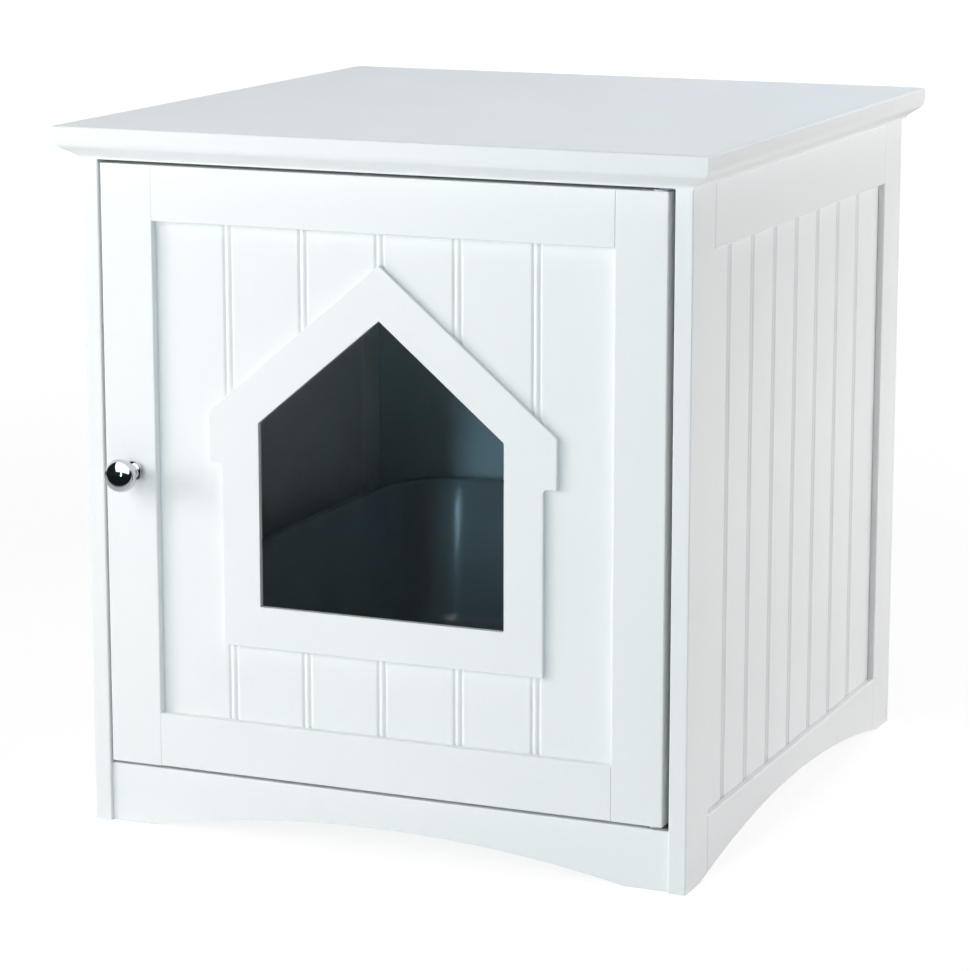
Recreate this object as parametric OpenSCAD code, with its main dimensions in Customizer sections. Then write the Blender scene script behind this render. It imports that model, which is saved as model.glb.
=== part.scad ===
/* [Overall size] */
// Height from the floor to the top surface
total_h = 511; // [441:5:621]
// Width of the top board
top_w = 490; // [450:5:600]
// Depth of the top board
top_d = 510; // [460:5:620]
// How far the top board stands out past each side
side_over = 15; // [14.5:0.5:25]
// How far the top board stands out past the door
front_over = 15; // [14.5:0.5:25]
// How far the top board stands out past the back
back_over = 10; // [0:0.5:25]

/* [Top board edge] */
// Thickness of the top board
top_t = 24; // [22:0.5:30]
// How far the shaped edge comes in below its round
ogee_d = 14.5; // [12:0.5:14.5]
// Radius of the round below the straight part of the edge
round_r = 7.25; // [5:0.25:8]
// Slope between the round and the hollow, measured in degrees from upright
ogee_slope = 58; // [55:1:66]
// Radius of the hollow at the foot of the edge
hollow_r = 3; // [2:0.25:5]
// Softening of the rim of the top surface
top_ease_r = 1.6; // [0.4:0.2:3]

/* [Side frames] */
// Thickness of the side frames
side_t = 13; // [12:0.5:18]
// Width of the front stile of each side
front_stile_w = 45.5; // [38:0.5:60]
// Width of the rear stile of each side
rear_stile_w = 43.5; // [38:0.5:60]
// Height of the side top rail
side_top_rail_h = 46; // [35:0.5:60]
// Height of the side bottom rail's upper edge above the floor
side_bottom_rail_top = 44.5; // [44:0.5:60]
// Rise of the arch under each side
side_arch_rise = 21.5; // [8:0.5:24]
// Width of the arch under each side
side_arch_w = 425; // [250:1:430]
// How far the side beadboard lies behind the frame's face
side_recess = 5; // [3:0.5:6]
// Number of beads on each side
side_beads = 7; // [3:1:7]
// Distance from the front stile to the middle of the first side bead
side_bead_start = 43.5; // [20:0.5:46]
// Distance from one side bead to the next
side_bead_pitch = 49.5; // [30:0.5:50]
// Gap round the thick middle of the side beadboard
field_gap = 0.5; // [0.3:0.1:1]
// Softening of the long edges of every frame piece
ease_r = 1.1; // [0.4:0.1:1.2]

/* [Beadboard] */
// Thickness of the beadboard
board_t = 4; // [3.5:0.25:5]
// Depth of the grooves that hold the beadboards
groove_d = 6; // [5:0.5:7]
// Width of the bead between its two fine grooves
bead_w = 3.4; // [2:0.1:5]
// Width of the fine groove on each side of a bead
vee_w = 2.2; // [1.2:0.1:3]
// Depth of the fine groove on each side of a bead
vee_d = 1.3; // [0.8:0.1:2.2]

/* [Floor, back and apron] */
// Height of the apron, which is also the top of the floor board
apron_h = 43.5; // [42:0.5:44]
// Thickness of the apron
apron_t = 13; // [12:0.5:18]
// How far the apron lies behind the front stiles' faces
apron_back = 3; // [0:0.5:4]
// Rise of the arch under the apron
apron_arch_rise = 18.5; // [6:0.5:22]
// Width of the arch under the apron
apron_arch_w = 370; // [200:1:380]
// Thickness of the floor board
floor_t = 12; // [12:0.5:14]
// Thickness of the back board
back_t = 5; // [4:0.5:6]
// How far the back board lies in from the frames' rear edges
back_inset = 5; // [4:0.5:12]
// Depth of the grooves that hold the back board
back_groove_d = 5; // [3:0.5:7]
// Side of each square corner block
block_w = 20; // [16:0.5:24]
// Length of each corner block
block_h = 26; // [20:0.5:26]

/* [Door] */
// Thickness of the door frame
door_t = 16; // [15:0.5:20]
// Width of the door's stile on the knob side
latch_stile_w = 40.5; // [34:0.5:44]
// Width of the door's stile on the hinge side
hinge_stile_w = 38; // [34:0.5:44]
// Height of the door's top rail
door_top_rail_h = 39.5; // [30:0.5:50]
// Height of the door's bottom rail
door_bottom_rail_h = 39.5; // [30:0.5:50]
// How far the door's beadboard lies behind the door's face
door_recess = 6.5; // [6:0.5:8.5]
// Number of beads on the door
door_beads = 5; // [2:1:5]
// Distance from the latch stile to the middle of the door's first bead
door_bead_start = 56.5; // [30:0.5:60]
// Distance from one of the door's beads to the next
door_bead_pitch = 58.5; // [40:0.5:60]
// Gap between the door and the cabinet on the knob side
latch_gap = 2; // [1.5:0.25:5]
// Gap between the door and the cabinet on the hinge side
hinge_gap = 4.5; // [4:0.25:7]
// Gap above the door
door_top_gap = 2.5; // [2.4:0.1:4]
// Gap below the door
door_bottom_gap = 3; // [2.4:0.1:5]

/* [House shape] */
// Height of the trim's lower edge above the door's lower edge
house_foot = 96; // [60:1:110]
// Gap between the ridge of the house and the door's top rail
ridge_gap = 22; // [8:0.5:40]
// Height of the short upright edge at each eave
eave_h = 36; // [20:1:42]
// How far each eave stands out past the wall
eave_out = 10; // [6:0.5:20]
// Radius of the inner corner under each eave
eave_r = 3; // [2:0.5:5]
// Width of the way in
way_w = 187.5; // [160:0.5:200]
// Width of the trim at the walls
wall_band = 29; // [20:0.5:34]
// Height of the trim under the way in
sill_band = 30; // [20:0.5:40]
// Width of the trim along the roof
roof_band = 29.5; // [20:0.5:34]
// Slope of the roof in degrees
roof_pitch = 40; // [30:0.5:42]
// Thickness of the trim
trim_t = 4.5; // [3:0.25:5.5]
// How far the trim stands in past the beadboard's sawn edge
trim_lap = 4; // [0:0.5:8]

/* [Knob] */
// Diameter of the ball
knob_d = 24; // [20:0.5:32]
// How far the knob reaches in front of the door's face
knob_reach = 30; // [28:0.5:40]
// Distance of the knob from the door's edge
knob_in = 23; // [16:0.5:28]
// Height of the knob above the door's lower edge
knob_up = 218; // [150:1:300]
// Diameter of the neck
knob_neck_d = 8; // [7:0.5:10]
// Diameter of the foot that sits on the door
knob_foot_d = 14; // [11:0.5:17]
// Thickness of the foot
knob_foot_t = 2; // [1:0.25:3]
// Radius of the knob's screw
knob_screw_r = 2; // [1.5:0.1:2.4]
// Depth of the screw hole in the knob
knob_thread_d = 12; // [8:0.5:14]
// Radius of the knob screw's head
knob_head_r = 3.8; // [3.2:0.1:4.5]
// Height of the knob screw's head
knob_head_h = 2.4; // [1.5:0.1:3]

/* [Hinges] */
// Distance of the pivot from the door's hinge edge
pivot_in = 7.5; // [7:0.25:9]
// Radius of the pivot pins
pin_r = 2; // [1.5:0.1:2.5]
// Running clearance of a pin in its bush, on the radius
pin_play = 0.05; // [0.02:0.01:0.08]
// How deep each pin goes into the door
pin_in_door = 11; // [8:0.5:16]
// Outside radius of the bushes
bush_r = 4; // [3.6:0.1:5]
// Radius of the flange of each bush
bush_flange_r = 5.5; // [5.2:0.1:6.5]
// Thickness of the hinge plates
plate_t = 1.5; // [1:0.1:1.6]
// Width of the hinge plates' leg
plate_w = 14; // [12:0.5:18]
// Length of the hinge plates' leg
plate_len = 54; // [44:1:70]
// Radius of the round end at the pivot
plate_end_r = 5; // [4.5:0.25:5.5]
// Distance of the rear screw from the end of the plate
plate_screw_in = 8; // [5:0.5:12]
// Distance between the plate's two screws
plate_screw_pitch = 14; // [10:0.5:18]
// Radius of the rivet head on each pin
rivet_r = 3.5; // [3:0.1:4]
// Thickness of the rivet head
rivet_t = 1; // [0.6:0.1:1.5]

/* [Catch] */
// Distance of the catch's middle below the top board
catch_drop = 66; // [50:1:110]
// Height of the catch's base
catch_h = 46; // [42:1:60]
// Thickness of the catch's base
catch_base_t = 3; // [2:0.25:4]
// Depth of the catch from front to back
catch_d = 16; // [12:0.5:17]
// How far the catch stands off the cabinet's side
catch_w = 15; // [13:0.5:18]
// Height of the magnet
magnet_h = 22; // [16:1:24]
// Thickness of the magnet
magnet_t = 4; // [3:0.25:5]
// Depth of the magnet from front to back
magnet_d = 10; // [7:0.5:11]
// Thickness of the pole plates beside the magnet
pole_t = 1.2; // [0.8:0.1:1.5]
// Wall of the catch around the magnet, above and below
catch_wall = 2; // [1:0.25:3]
// Thickness of the strike plate on the door
strike_t = 1.2; // [0.8:0.1:2]
// Height of the strike plate
strike_h = 34; // [26:1:44]
// Width of the strike plate
strike_w = 10; // [8:0.5:12]
// Least distance of the strike plate from the door's edge
strike_edge = 0.5; // [0.5:0.25:3]
// Distance of the strike's and the catch's screws from the plate's ends
end_screw_in = 5; // [4:0.5:6]

/* [Fasteners] */
// Radius of the small wood screws
screw_r = 1.6; // [1.2:0.1:1.8]
// Radius of the small screws' heads
screw_head_r = 3; // [2.6:0.1:3.4]
// Length of the small wood screws
screw_len = 10; // [8:0.5:11]
// How far a long screw bites past the piece that it holds
screw_bite = 8; // [6:0.5:10]
// Radius of the cam discs
cam_r = 6; // [5:0.25:7.5]
// Depth of the cam discs
cam_d = 9.5; // [8.5:0.5:10.5]
// Distance of a cam's centre from the joint
cam_in = 20; // [16:0.5:26]
// Radius of the cam bolts
cam_bolt_r = 2.5; // [2:0.1:3]
// How far a cam bolt screws into the other board
cam_bolt_deep = 9; // [6:0.5:10]
// Height of the floor's cam bolts above the floor board's underside
floor_bolt_up = 4; // [3.5:0.25:4]
// Distance of the cam fasteners from the middle of the depth
cam_y = 130; // [80:1:150]
// Radius of the wooden dowels
dowel_r = 3; // [2:0.25:3.5]
// How far each dowel goes into each board
dowel_in = 9; // [6:0.5:10]
// Height of the lower apron dowels above the floor
apron_dowel_z = 15.5; // [13:0.5:17]
// Distance between the apron's dowels
apron_dowel_pitch = 16; // [12:0.5:18]
// Distance between the back board's screws
back_screw_pitch = 160; // [80:5:190]

/* [Litter tray] */
// Width over the tray's rim
tray_w = 358; // [300:2:370]
// Depth over the tray's rim
tray_d = 400; // [340:2:430]
// Height of the tray at its sides and back
tray_h = 136; // [90:1:180]
// How much lower the front of the tray is
tray_dip = 34; // [0:1:50]
// Distance from the tray's middle to where the rim starts to fall
tray_dip_start = 70; // [20:1:90]
// Length of the fall of the rim
tray_dip_len = 95; // [50:1:110]
// Thickness of the tray's plastic
tray_wall = 2.4; // [1.8:0.1:3.2]
// How far the rim stands out past the wall
tray_lip = 8; // [6:0.5:12]
// Height of the rim's turned-down edge
tray_lip_h = 9; // [6:0.5:12]
// How much the wall leans in from the rim to the bottom
tray_draft = 14; // [6:1:20]
// Corner radius at the rim
tray_corner_r = 66; // [56:1:80]
// Radius of the turn from the wall to the bottom
tray_floor_r = 30; // [8:1:30]

/* [Clearances] */
// Clearance round a board or a tongue in its groove
board_gap = 0.15; // [0.05:0.05:0.3]
// Clearance round a screw, bolt, dowel or cam in its hole
hole_gap = 0.1; // [0.05:0.05:0.3]
// Gap between pieces that move past each other
move_gap = 0.3; // [0.2:0.05:0.6]

/* [Hidden] */
$fn = 48;
arch_fn = 480;
small_fn = 24;
// Extra length that lets a cut run clear of a face
cut = 1;

paint = [0.95, 0.96, 0.96];
side_paint = [0.90, 0.91, 0.91];
steel = [0.72, 0.73, 0.75];
chrome_plate = [0.80, 0.82, 0.84];
nylon = [0.86, 0.86, 0.84];
beech = [0.78, 0.64, 0.45];
ferrite = [0.30, 0.30, 0.32];
tray_plastic = [0.20, 0.22, 0.23];

// Turns that point a shape's own upward axis another way
turn_right_deg = [0, 90, 0];
turn_left_deg = [0, -90, 0];
turn_front_deg = [90, 0, 0];
turn_up_deg = [0, 0, 0];
turn_down_deg = [180, 0, 0];
turn_flat_right_deg = [0, 0, -90];
turn_flat_round_deg = [0, 0, 180];

// Main faces: the origin is on the floor under the middle of the whole, knob and top board included
body_h = total_h - top_t;
front_reach = max(knob_reach, front_over);
body_d = top_d - front_over - back_over;
face_y = front_reach - (front_reach + body_d + back_over) / 2;
rear_y = face_y + body_d;
mid_y = (face_y + rear_y) / 2;
side_out_x = top_w / 2 - side_over;
side_in_x = side_out_x - side_t;
side_mid_x = side_out_x - side_t / 2;

// Openings of the side frames
side_open_y0 = face_y + front_stile_w;
side_open_y1 = rear_y - rear_stile_w;
side_rail_z = body_h - side_top_rail_h;
side_board_x = side_out_x - side_recess;
side_bead_places = [for (i = [0:side_beads - 1]) side_open_y0 + side_bead_start + i * side_bead_pitch];

// Floor board and back board
apron_y = face_y + apron_back;
floor_y0 = apron_y + apron_t;
floor_z0 = apron_h - floor_t;
back_y0 = rear_y - back_inset - back_t;
back_y1 = back_y0 + back_t;

// Door outline, its opening and its pivot
door_x0 = -side_in_x + latch_gap;
door_x1 = side_in_x - hinge_gap;
door_z0 = apron_h + door_bottom_gap;
door_z1 = body_h - door_top_gap;
door_back_y = face_y + door_t;
door_open_x0 = door_x0 + latch_stile_w;
door_open_x1 = door_x1 - hinge_stile_w;
door_open_z0 = door_z0 + door_bottom_rail_h;
door_open_z1 = door_z1 - door_top_rail_h;
door_board_y = face_y + door_recess;
door_bead_places = [for (i = [0:door_beads - 1]) door_open_x0 + door_bead_start + i * door_bead_pitch];
pivot_x = door_x1 - pivot_in;
pivot_y = face_y + door_t / 2;

// House shape, measured from the middle of the door's opening
house_x = (door_open_x0 + door_open_x1) / 2;
house_z0 = door_z0 + house_foot;
wall_x = way_w / 2 + wall_band;
eave_x = wall_x + eave_out;
ridge_z = door_open_z1 - ridge_gap;
eave_z1 = ridge_z - eave_x * tan(roof_pitch);
eave_z0 = eave_z1 - eave_h;
way_z0 = house_z0 + sill_band;
way_ridge_z = ridge_z - roof_band / cos(roof_pitch);

// Knob, catch and strike
knob_x = door_x0 + knob_in;
knob_z = door_z0 + knob_up;
catch_z = body_h - catch_drop;
catch_y0 = door_back_y + strike_t + move_gap;
catch_mid_x = -side_in_x + (catch_base_t + catch_w) / 2;
strike_mid_x = max(catch_mid_x, door_x0 + strike_w / 2 + strike_edge);

// Places of the fasteners
cam_places = [mid_y - cam_y, mid_y + cam_y];
top_dowel_places = [face_y + front_stile_w / 2, rear_y - rear_stile_w / 2];
apron_dowel_heights = [apron_dowel_z, apron_dowel_z + apron_dowel_pitch];
block_front_z = apron_dowel_z + apron_dowel_pitch / 2;
block_side_z = (floor_z0 - block_h + block_front_z) / 2;
floor_mid_z = floor_z0 + floor_t / 2;
floor_bolt_z = floor_z0 + floor_bolt_up;
plate_rear_y = face_y + plate_len;
plate_screw_places = [plate_rear_y - plate_screw_in, plate_rear_y - plate_screw_in - plate_screw_pitch];
plate_screw_x = side_in_x - plate_w / 2;

/* Shared shapes */

// A plain block between two corners
module block(lo, hi) {
    translate(lo) cube(hi - lo);
}

// A rectangle with its four corners rounded
module eased_rect(w, h, r) {
    translate([r, 0]) square([w - 2 * r, h]);
    translate([0, r]) square([w, h - 2 * r]);
    for (x = [r, w - r], y = [r, h - r]) translate([x, y]) circle(r, $fn = small_fn);
}

// An upright board with softened long edges
module upright(lo, hi) {
    translate(lo)
        linear_extrude(hi[2] - lo[2]) eased_rect(hi[0] - lo[0], hi[1] - lo[1], ease_r);
}

// A board along X with softened long edges
module along_x(lo, hi) {
    translate(lo) rotate([90, 0, 90])
        linear_extrude(hi[0] - lo[0]) eased_rect(hi[1] - lo[1], hi[2] - lo[2], ease_r);
}

// A board along Y with softened long edges
module along_y(lo, hi) {
    translate([lo[0], hi[1], lo[2]]) rotate(turn_front_deg)
        linear_extrude(hi[1] - lo[1]) eased_rect(hi[0] - lo[0], hi[2] - lo[2], ease_r);
}

// A round rod that starts at a point and runs the way that turn gives
module rod(at, turn, r, len) {
    translate(at) rotate(turn) cylinder(h = len, r = r, $fn = small_fn);
}

// A countersunk wood screw with its head's face at the given point, or with a gap the hole for it
module wood_screw(at, turn, len, gap) {
    sink = screw_head_r - screw_r;
    translate(at) rotate(turn) rotate_extrude($fn = small_fn)
        polygon([
            [0, -gap], [screw_head_r + gap, -gap], [screw_head_r + gap, 0],
            [screw_r + gap, sink], [screw_r + gap, len + gap], [0, len + gap]
        ]);
}

// Section of a beaded board from x0 to x1: its face lies on the X axis and the wood below it
module bead_section(x0, x1, places) {
    // Half of a fine groove's width at the height where the cutting triangle ends
    spread = vee_w / 2 * (vee_d + cut) / vee_d;
    difference() {
        translate([x0, -board_t]) square([x1 - x0, board_t]);
        for (x = places, side = [-1, 1]) translate([x + side * (bead_w + vee_w) / 2, 0])
            polygon([[-spread, cut], [0, -vee_d], [spread, cut]]);
    }
}

// A long shallow arch through a board, as the cylinder that cuts it
module arch_cutter(width, rise, at, turn, len) {
    half = width / 2;
    arch_r = (half * half + rise * rise) / (2 * rise);
    translate([at[0], at[1], rise - arch_r]) rotate(turn) cylinder(h = len, r = arch_r, $fn = arch_fn);
}

// The same thing on both sides of the cabinet
module both_sides() {
    children();
    mirror([1, 0, 0]) children();
}

/* Fasteners, each drawn as itself with no gap and as its own hole with one */

module top_cam_bolt_set(gap) {
    both_sides() for (y = cam_places)
        rod([side_mid_x, y, body_h - cam_in + cam_bolt_r], turn_up_deg,
            cam_bolt_r + gap, cam_in - cam_bolt_r + cam_bolt_deep + gap);
}

module top_cam_disc_set(gap) {
    both_sides() for (y = cam_places)
        rod([side_in_x - gap, y, body_h - cam_in], turn_right_deg, cam_r + gap, cam_d + 2 * gap);
}

module floor_cam_bolt_set(gap) {
    both_sides() for (y = cam_places)
        rod([side_in_x - cam_in + cam_bolt_r, y, floor_bolt_z], turn_right_deg,
            cam_bolt_r + gap, cam_in - cam_bolt_r + cam_bolt_deep + gap);
}

module floor_cam_disc_set(gap) {
    both_sides() for (y = cam_places)
        rod([side_in_x - cam_in, y, floor_z0 - gap], turn_up_deg, cam_r + gap, cam_d + 2 * gap);
}

module top_dowel_set(gap) {
    both_sides() for (y = top_dowel_places)
        rod([side_mid_x, y, body_h - dowel_in - gap], turn_up_deg, dowel_r + gap, 2 * (dowel_in + gap));
}

module apron_dowel_set(gap) {
    both_sides() for (z = apron_dowel_heights)
        rod([side_in_x - dowel_in - gap, apron_y + apron_t / 2, z], turn_right_deg,
            dowel_r + gap, 2 * (dowel_in + gap));
}

module block_screw_set(gap) {
    len = block_w + screw_bite;
    both_sides() {
        wood_screw([side_in_x - block_w, floor_y0 + block_w / 2, block_side_z], turn_right_deg, len, gap);
        wood_screw([side_in_x - block_w / 2, floor_y0 + block_w, block_front_z], turn_front_deg, len, gap);
    }
}

module back_screw_set(gap) {
    for (x = [-back_screw_pitch, 0, back_screw_pitch])
        wood_screw([x, back_y1, floor_mid_z], turn_front_deg, back_t + screw_bite, gap);
}

module hinge_screw_set(gap) {
    for (y = plate_screw_places) {
        wood_screw([plate_screw_x, y, apron_h + plate_t], turn_down_deg, screw_len, gap);
        wood_screw([plate_screw_x, y, body_h - plate_t], turn_up_deg, screw_len, gap);
    }
}

module catch_screw_set(gap) {
    for (z = [catch_z - catch_h / 2 + end_screw_in, catch_z + catch_h / 2 - end_screw_in])
        wood_screw([-side_in_x + catch_base_t, catch_y0 + catch_d / 2, z], turn_left_deg, screw_len, gap);
}

module strike_screw_set(gap) {
    for (z = [catch_z - strike_h / 2 + end_screw_in, catch_z + strike_h / 2 - end_screw_in])
        wood_screw([strike_mid_x, door_back_y + strike_t, z], turn_front_deg, screw_len, gap);
}

// A pivot pin with its rivet head below the origin, its shank rising to the given length
module pivot_pin(at, turn, shank, gap) {
    translate(at) rotate(turn) {
        translate([0, 0, -rivet_t - gap]) cylinder(h = rivet_t + gap, r = rivet_r + gap);
        cylinder(h = shank, r = pin_r + gap);
    }
}

module lower_pin(gap) {
    pivot_pin([pivot_x, pivot_y, apron_h], turn_up_deg, door_bottom_gap + pin_in_door, gap);
}

module upper_pin(gap) {
    pivot_pin([pivot_x, pivot_y, body_h], turn_down_deg, door_top_gap + pin_in_door, gap);
}

/* Top board */

// Where the shaped edge turns: the slope between the round and the hollow touches both
round_in = round_r * (1 - cos(ogee_slope));
hollow_in = hollow_r * (1 - cos(ogee_slope));
hollow_z = body_h + hollow_r * sin(ogee_slope);
slope_z = hollow_z + (ogee_d - round_in - hollow_in) / tan(ogee_slope);
round_z = slope_z + round_r * sin(ogee_slope);

// One half of the section across the shaped edge, from the middle out to x = half
module edge_section(half) {
    difference() {
        union() {
            translate([0, round_z]) square([half - top_ease_r, total_h - round_z]);
            translate([0, round_z]) square([half, total_h - top_ease_r - round_z]);
            translate([half - top_ease_r, total_h - top_ease_r]) circle(top_ease_r, $fn = small_fn);
            polygon([
                [0, body_h], [half - ogee_d, body_h], [half - ogee_d + hollow_in, hollow_z],
                [half - round_in, slope_z], [half, round_z], [0, round_z]
            ]);
            intersection() {
                translate([half - round_r, round_z]) circle(round_r);
                translate([0, body_h]) square([half, round_z - body_h]);
            }
        }
        translate([half - ogee_d + hollow_r, body_h]) circle(hollow_r);
    }
}

module top_blank() {
    intersection() {
        translate([0, rear_y + back_over, 0]) rotate(turn_front_deg)
            linear_extrude(top_d) {
                edge_section(top_w / 2);
                mirror([1, 0]) edge_section(top_w / 2);
            }
        translate([-top_w / 2, 0, 0]) rotate([90, 0, 90])
            linear_extrude(top_w) {
                translate([mid_y, 0]) mirror([1, 0]) edge_section(body_d / 2 + front_over);
                translate([mid_y - cut, body_h]) square([body_d / 2 + back_over + cut, top_t]);
            }
    }
}

module top_board() {
    color(paint) difference() {
        top_blank();
        back_slot();
        top_cam_bolt_set(hole_gap);
        top_dowel_set(hole_gap);
        hinge_screw_set(hole_gap);
        upper_pin(hole_gap);
    }
}

/* Side frames, drawn for the right side and mirrored for the left */

// The groove that takes the back board, also cut into the top board
module back_slot() {
    block([-side_in_x - back_groove_d, back_y0 - board_gap, floor_z0 - board_gap],
          [side_in_x + back_groove_d, back_y1 + board_gap, body_h + back_groove_d]);
}

// The groove that takes the side beadboard and the rails' tongues
module side_slot(y0, y1, z0, z1) {
    block([side_board_x - board_t - board_gap, y0, z0], [side_board_x + board_gap, y1, z1]);
}

// The tongues at both ends of a side rail
module side_tongue(z0, z1) {
    block([side_board_x - board_t, side_open_y0 - groove_d + board_gap, z0],
          [side_board_x, side_open_y1 + groove_d - board_gap, z1]);
}

module side_arch() {
    arch_cutter(side_arch_w, side_arch_rise, [side_in_x - cut, mid_y], turn_right_deg, side_t + 2 * cut);
}

module side_front_stile() {
    difference() {
        upright([side_in_x, face_y, 0], [side_out_x, side_open_y0, body_h]);
        side_slot(side_open_y0 - groove_d, side_open_y0 + cut, -cut, body_h + cut);
        side_arch();
        top_dowel_set(hole_gap);
        apron_dowel_set(hole_gap);
        block_screw_set(hole_gap);
    }
}

module side_rear_stile() {
    difference() {
        upright([side_in_x, side_open_y1, 0], [side_out_x, rear_y, body_h]);
        side_slot(side_open_y1 - cut, side_open_y1 + groove_d, -cut, body_h + cut);
        side_arch();
        back_slot();
        top_dowel_set(hole_gap);
    }
}

module side_top_rail() {
    difference() {
        union() {
            along_y([side_in_x, side_open_y0, side_rail_z], [side_out_x, side_open_y1, body_h]);
            side_tongue(side_rail_z, body_h);
        }
        side_slot(side_open_y0 - groove_d - cut, side_open_y1 + groove_d + cut,
                  side_rail_z - cut, side_rail_z + groove_d);
        top_cam_bolt_set(hole_gap);
        top_cam_disc_set(hole_gap);
    }
}

module side_bottom_rail() {
    difference() {
        union() {
            along_y([side_in_x, side_open_y0, 0], [side_out_x, side_open_y1, side_bottom_rail_top]);
            side_tongue(0, side_bottom_rail_top);
        }
        side_slot(side_open_y0 - groove_d - cut, side_open_y1 + groove_d + cut,
                  side_bottom_rail_top - groove_d, side_bottom_rail_top + cut);
        side_arch();
        floor_cam_bolt_set(hole_gap);
    }
}

module side_beadboard() {
    fit_d = groove_d - board_gap;
    z0 = side_bottom_rail_top - fit_d;
    z1 = side_rail_z + fit_d;
    translate([side_board_x, 0, z0]) rotate(turn_flat_right_deg)
        linear_extrude(z1 - z0)
            bead_section(-side_open_y1 - fit_d, -side_open_y0 + fit_d, -side_bead_places);
    block([side_in_x, side_open_y0 + field_gap, side_bottom_rail_top + field_gap],
          [side_board_x - board_t, side_open_y1 - field_gap, side_rail_z - field_gap]);
}

module right_front_stile() { color(side_paint) side_front_stile(); }
module right_rear_stile() { color(side_paint) side_rear_stile(); }
module right_top_rail() { color(side_paint) side_top_rail(); }
module right_bottom_rail() { color(side_paint) side_bottom_rail(); }
module right_beadboard() { color(side_paint) side_beadboard(); }

module left_front_stile() {
    color(side_paint) difference() {
        mirror([1, 0, 0]) side_front_stile();
        catch_screw_set(hole_gap);
    }
}

module left_rear_stile() { color(side_paint) mirror([1, 0, 0]) side_rear_stile(); }
module left_top_rail() { color(side_paint) mirror([1, 0, 0]) side_top_rail(); }
module left_bottom_rail() { color(side_paint) mirror([1, 0, 0]) side_bottom_rail(); }
module left_beadboard() { color(side_paint) mirror([1, 0, 0]) side_beadboard(); }

/* Floor, back and apron */

module floor_board() {
    color(side_paint) difference() {
        block([-side_in_x, floor_y0, floor_z0], [side_in_x, back_y0, apron_h]);
        floor_cam_bolt_set(hole_gap);
        floor_cam_disc_set(hole_gap);
        hinge_screw_set(hole_gap);
        back_screw_set(hole_gap);
        lower_pin(hole_gap);
    }
}

module back_board() {
    fit_d = back_groove_d - board_gap;
    color(side_paint) difference() {
        block([-side_in_x - fit_d, back_y0, floor_z0], [side_in_x + fit_d, back_y1, body_h + fit_d]);
        back_screw_set(hole_gap);
    }
}

module front_apron() {
    color(paint) difference() {
        along_x([-side_in_x, apron_y, 0], [side_in_x, floor_y0, apron_h]);
        arch_cutter(apron_arch_w, apron_arch_rise, [0, floor_y0 + cut], turn_front_deg, apron_t + 2 * cut);
        apron_dowel_set(hole_gap);
        block_screw_set(hole_gap);
        lower_pin(hole_gap);
    }
}

module corner_block() {
    difference() {
        upright([side_in_x - block_w, floor_y0, floor_z0 - block_h],
                [side_in_x, floor_y0 + block_w, floor_z0]);
        block_screw_set(hole_gap);
    }
}

module right_corner_block() { color(side_paint) corner_block(); }
module left_corner_block() { color(side_paint) mirror([1, 0, 0]) corner_block(); }

/* Cabinet fasteners */

module block_screws() { color(steel) block_screw_set(0); }
module top_cam_bolts() { color(steel) top_cam_bolt_set(0); }
module floor_cam_bolts() { color(steel) floor_cam_bolt_set(0); }
module top_dowels() { color(beech) top_dowel_set(0); }
module apron_dowels() { color(beech) apron_dowel_set(0); }
module back_screws() { color(steel) back_screw_set(0); }
module hinge_screws() { color(steel) hinge_screw_set(0); }

module top_cam_discs() {
    color(steel) difference() {
        top_cam_disc_set(0);
        top_cam_bolt_set(hole_gap);
    }
}

module floor_cam_discs() {
    color(steel) difference() {
        floor_cam_disc_set(0);
        floor_cam_bolt_set(hole_gap);
    }
}

/* Corner pivot hinges */

module plate_outline() {
    translate([side_in_x - plate_w, pivot_y]) square([plate_w, plate_rear_y - pivot_y]);
    translate([pivot_x, pivot_y - plate_end_r]) square([side_in_x - pivot_x, 2 * plate_end_r]);
    translate([pivot_x, pivot_y]) circle(plate_end_r);
}

module lower_hinge_plate() {
    color(steel) difference() {
        translate([0, 0, apron_h]) linear_extrude(plate_t) plate_outline();
        lower_pin(hole_gap);
        hinge_screw_set(hole_gap);
    }
}

module upper_hinge_plate() {
    color(steel) difference() {
        translate([0, 0, body_h - plate_t]) linear_extrude(plate_t) plate_outline();
        upper_pin(hole_gap);
        hinge_screw_set(hole_gap);
    }
}

module lower_hinge_pin() { color(steel) lower_pin(0); }
module upper_hinge_pin() { color(steel) upper_pin(0); }

// A bush with its flange below the origin and its barrel above, or with a gap the hole for its barrel
module bush_barrel(gap) {
    cylinder(h = pin_in_door + cut + gap, r = bush_r + gap);
}

module bush(flange_t) {
    difference() {
        union() {
            bush_barrel(0);
            translate([0, 0, -flange_t]) cylinder(h = flange_t, r = bush_flange_r);
        }
        translate([0, 0, -flange_t - cut])
            cylinder(h = flange_t + pin_in_door + 3 * cut, r = pin_r + pin_play);
    }
}

module lower_hinge_bush() {
    color(nylon) translate([pivot_x, pivot_y, door_z0]) bush(door_bottom_gap - plate_t - move_gap);
}

module upper_hinge_bush() {
    color(nylon) translate([pivot_x, pivot_y, door_z1]) rotate(turn_down_deg)
        bush(door_top_gap - plate_t - move_gap);
}

/* Magnetic catch */

magnet_y1 = catch_y0 + magnet_d;
stack_half = magnet_t / 2 + pole_t;

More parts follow.
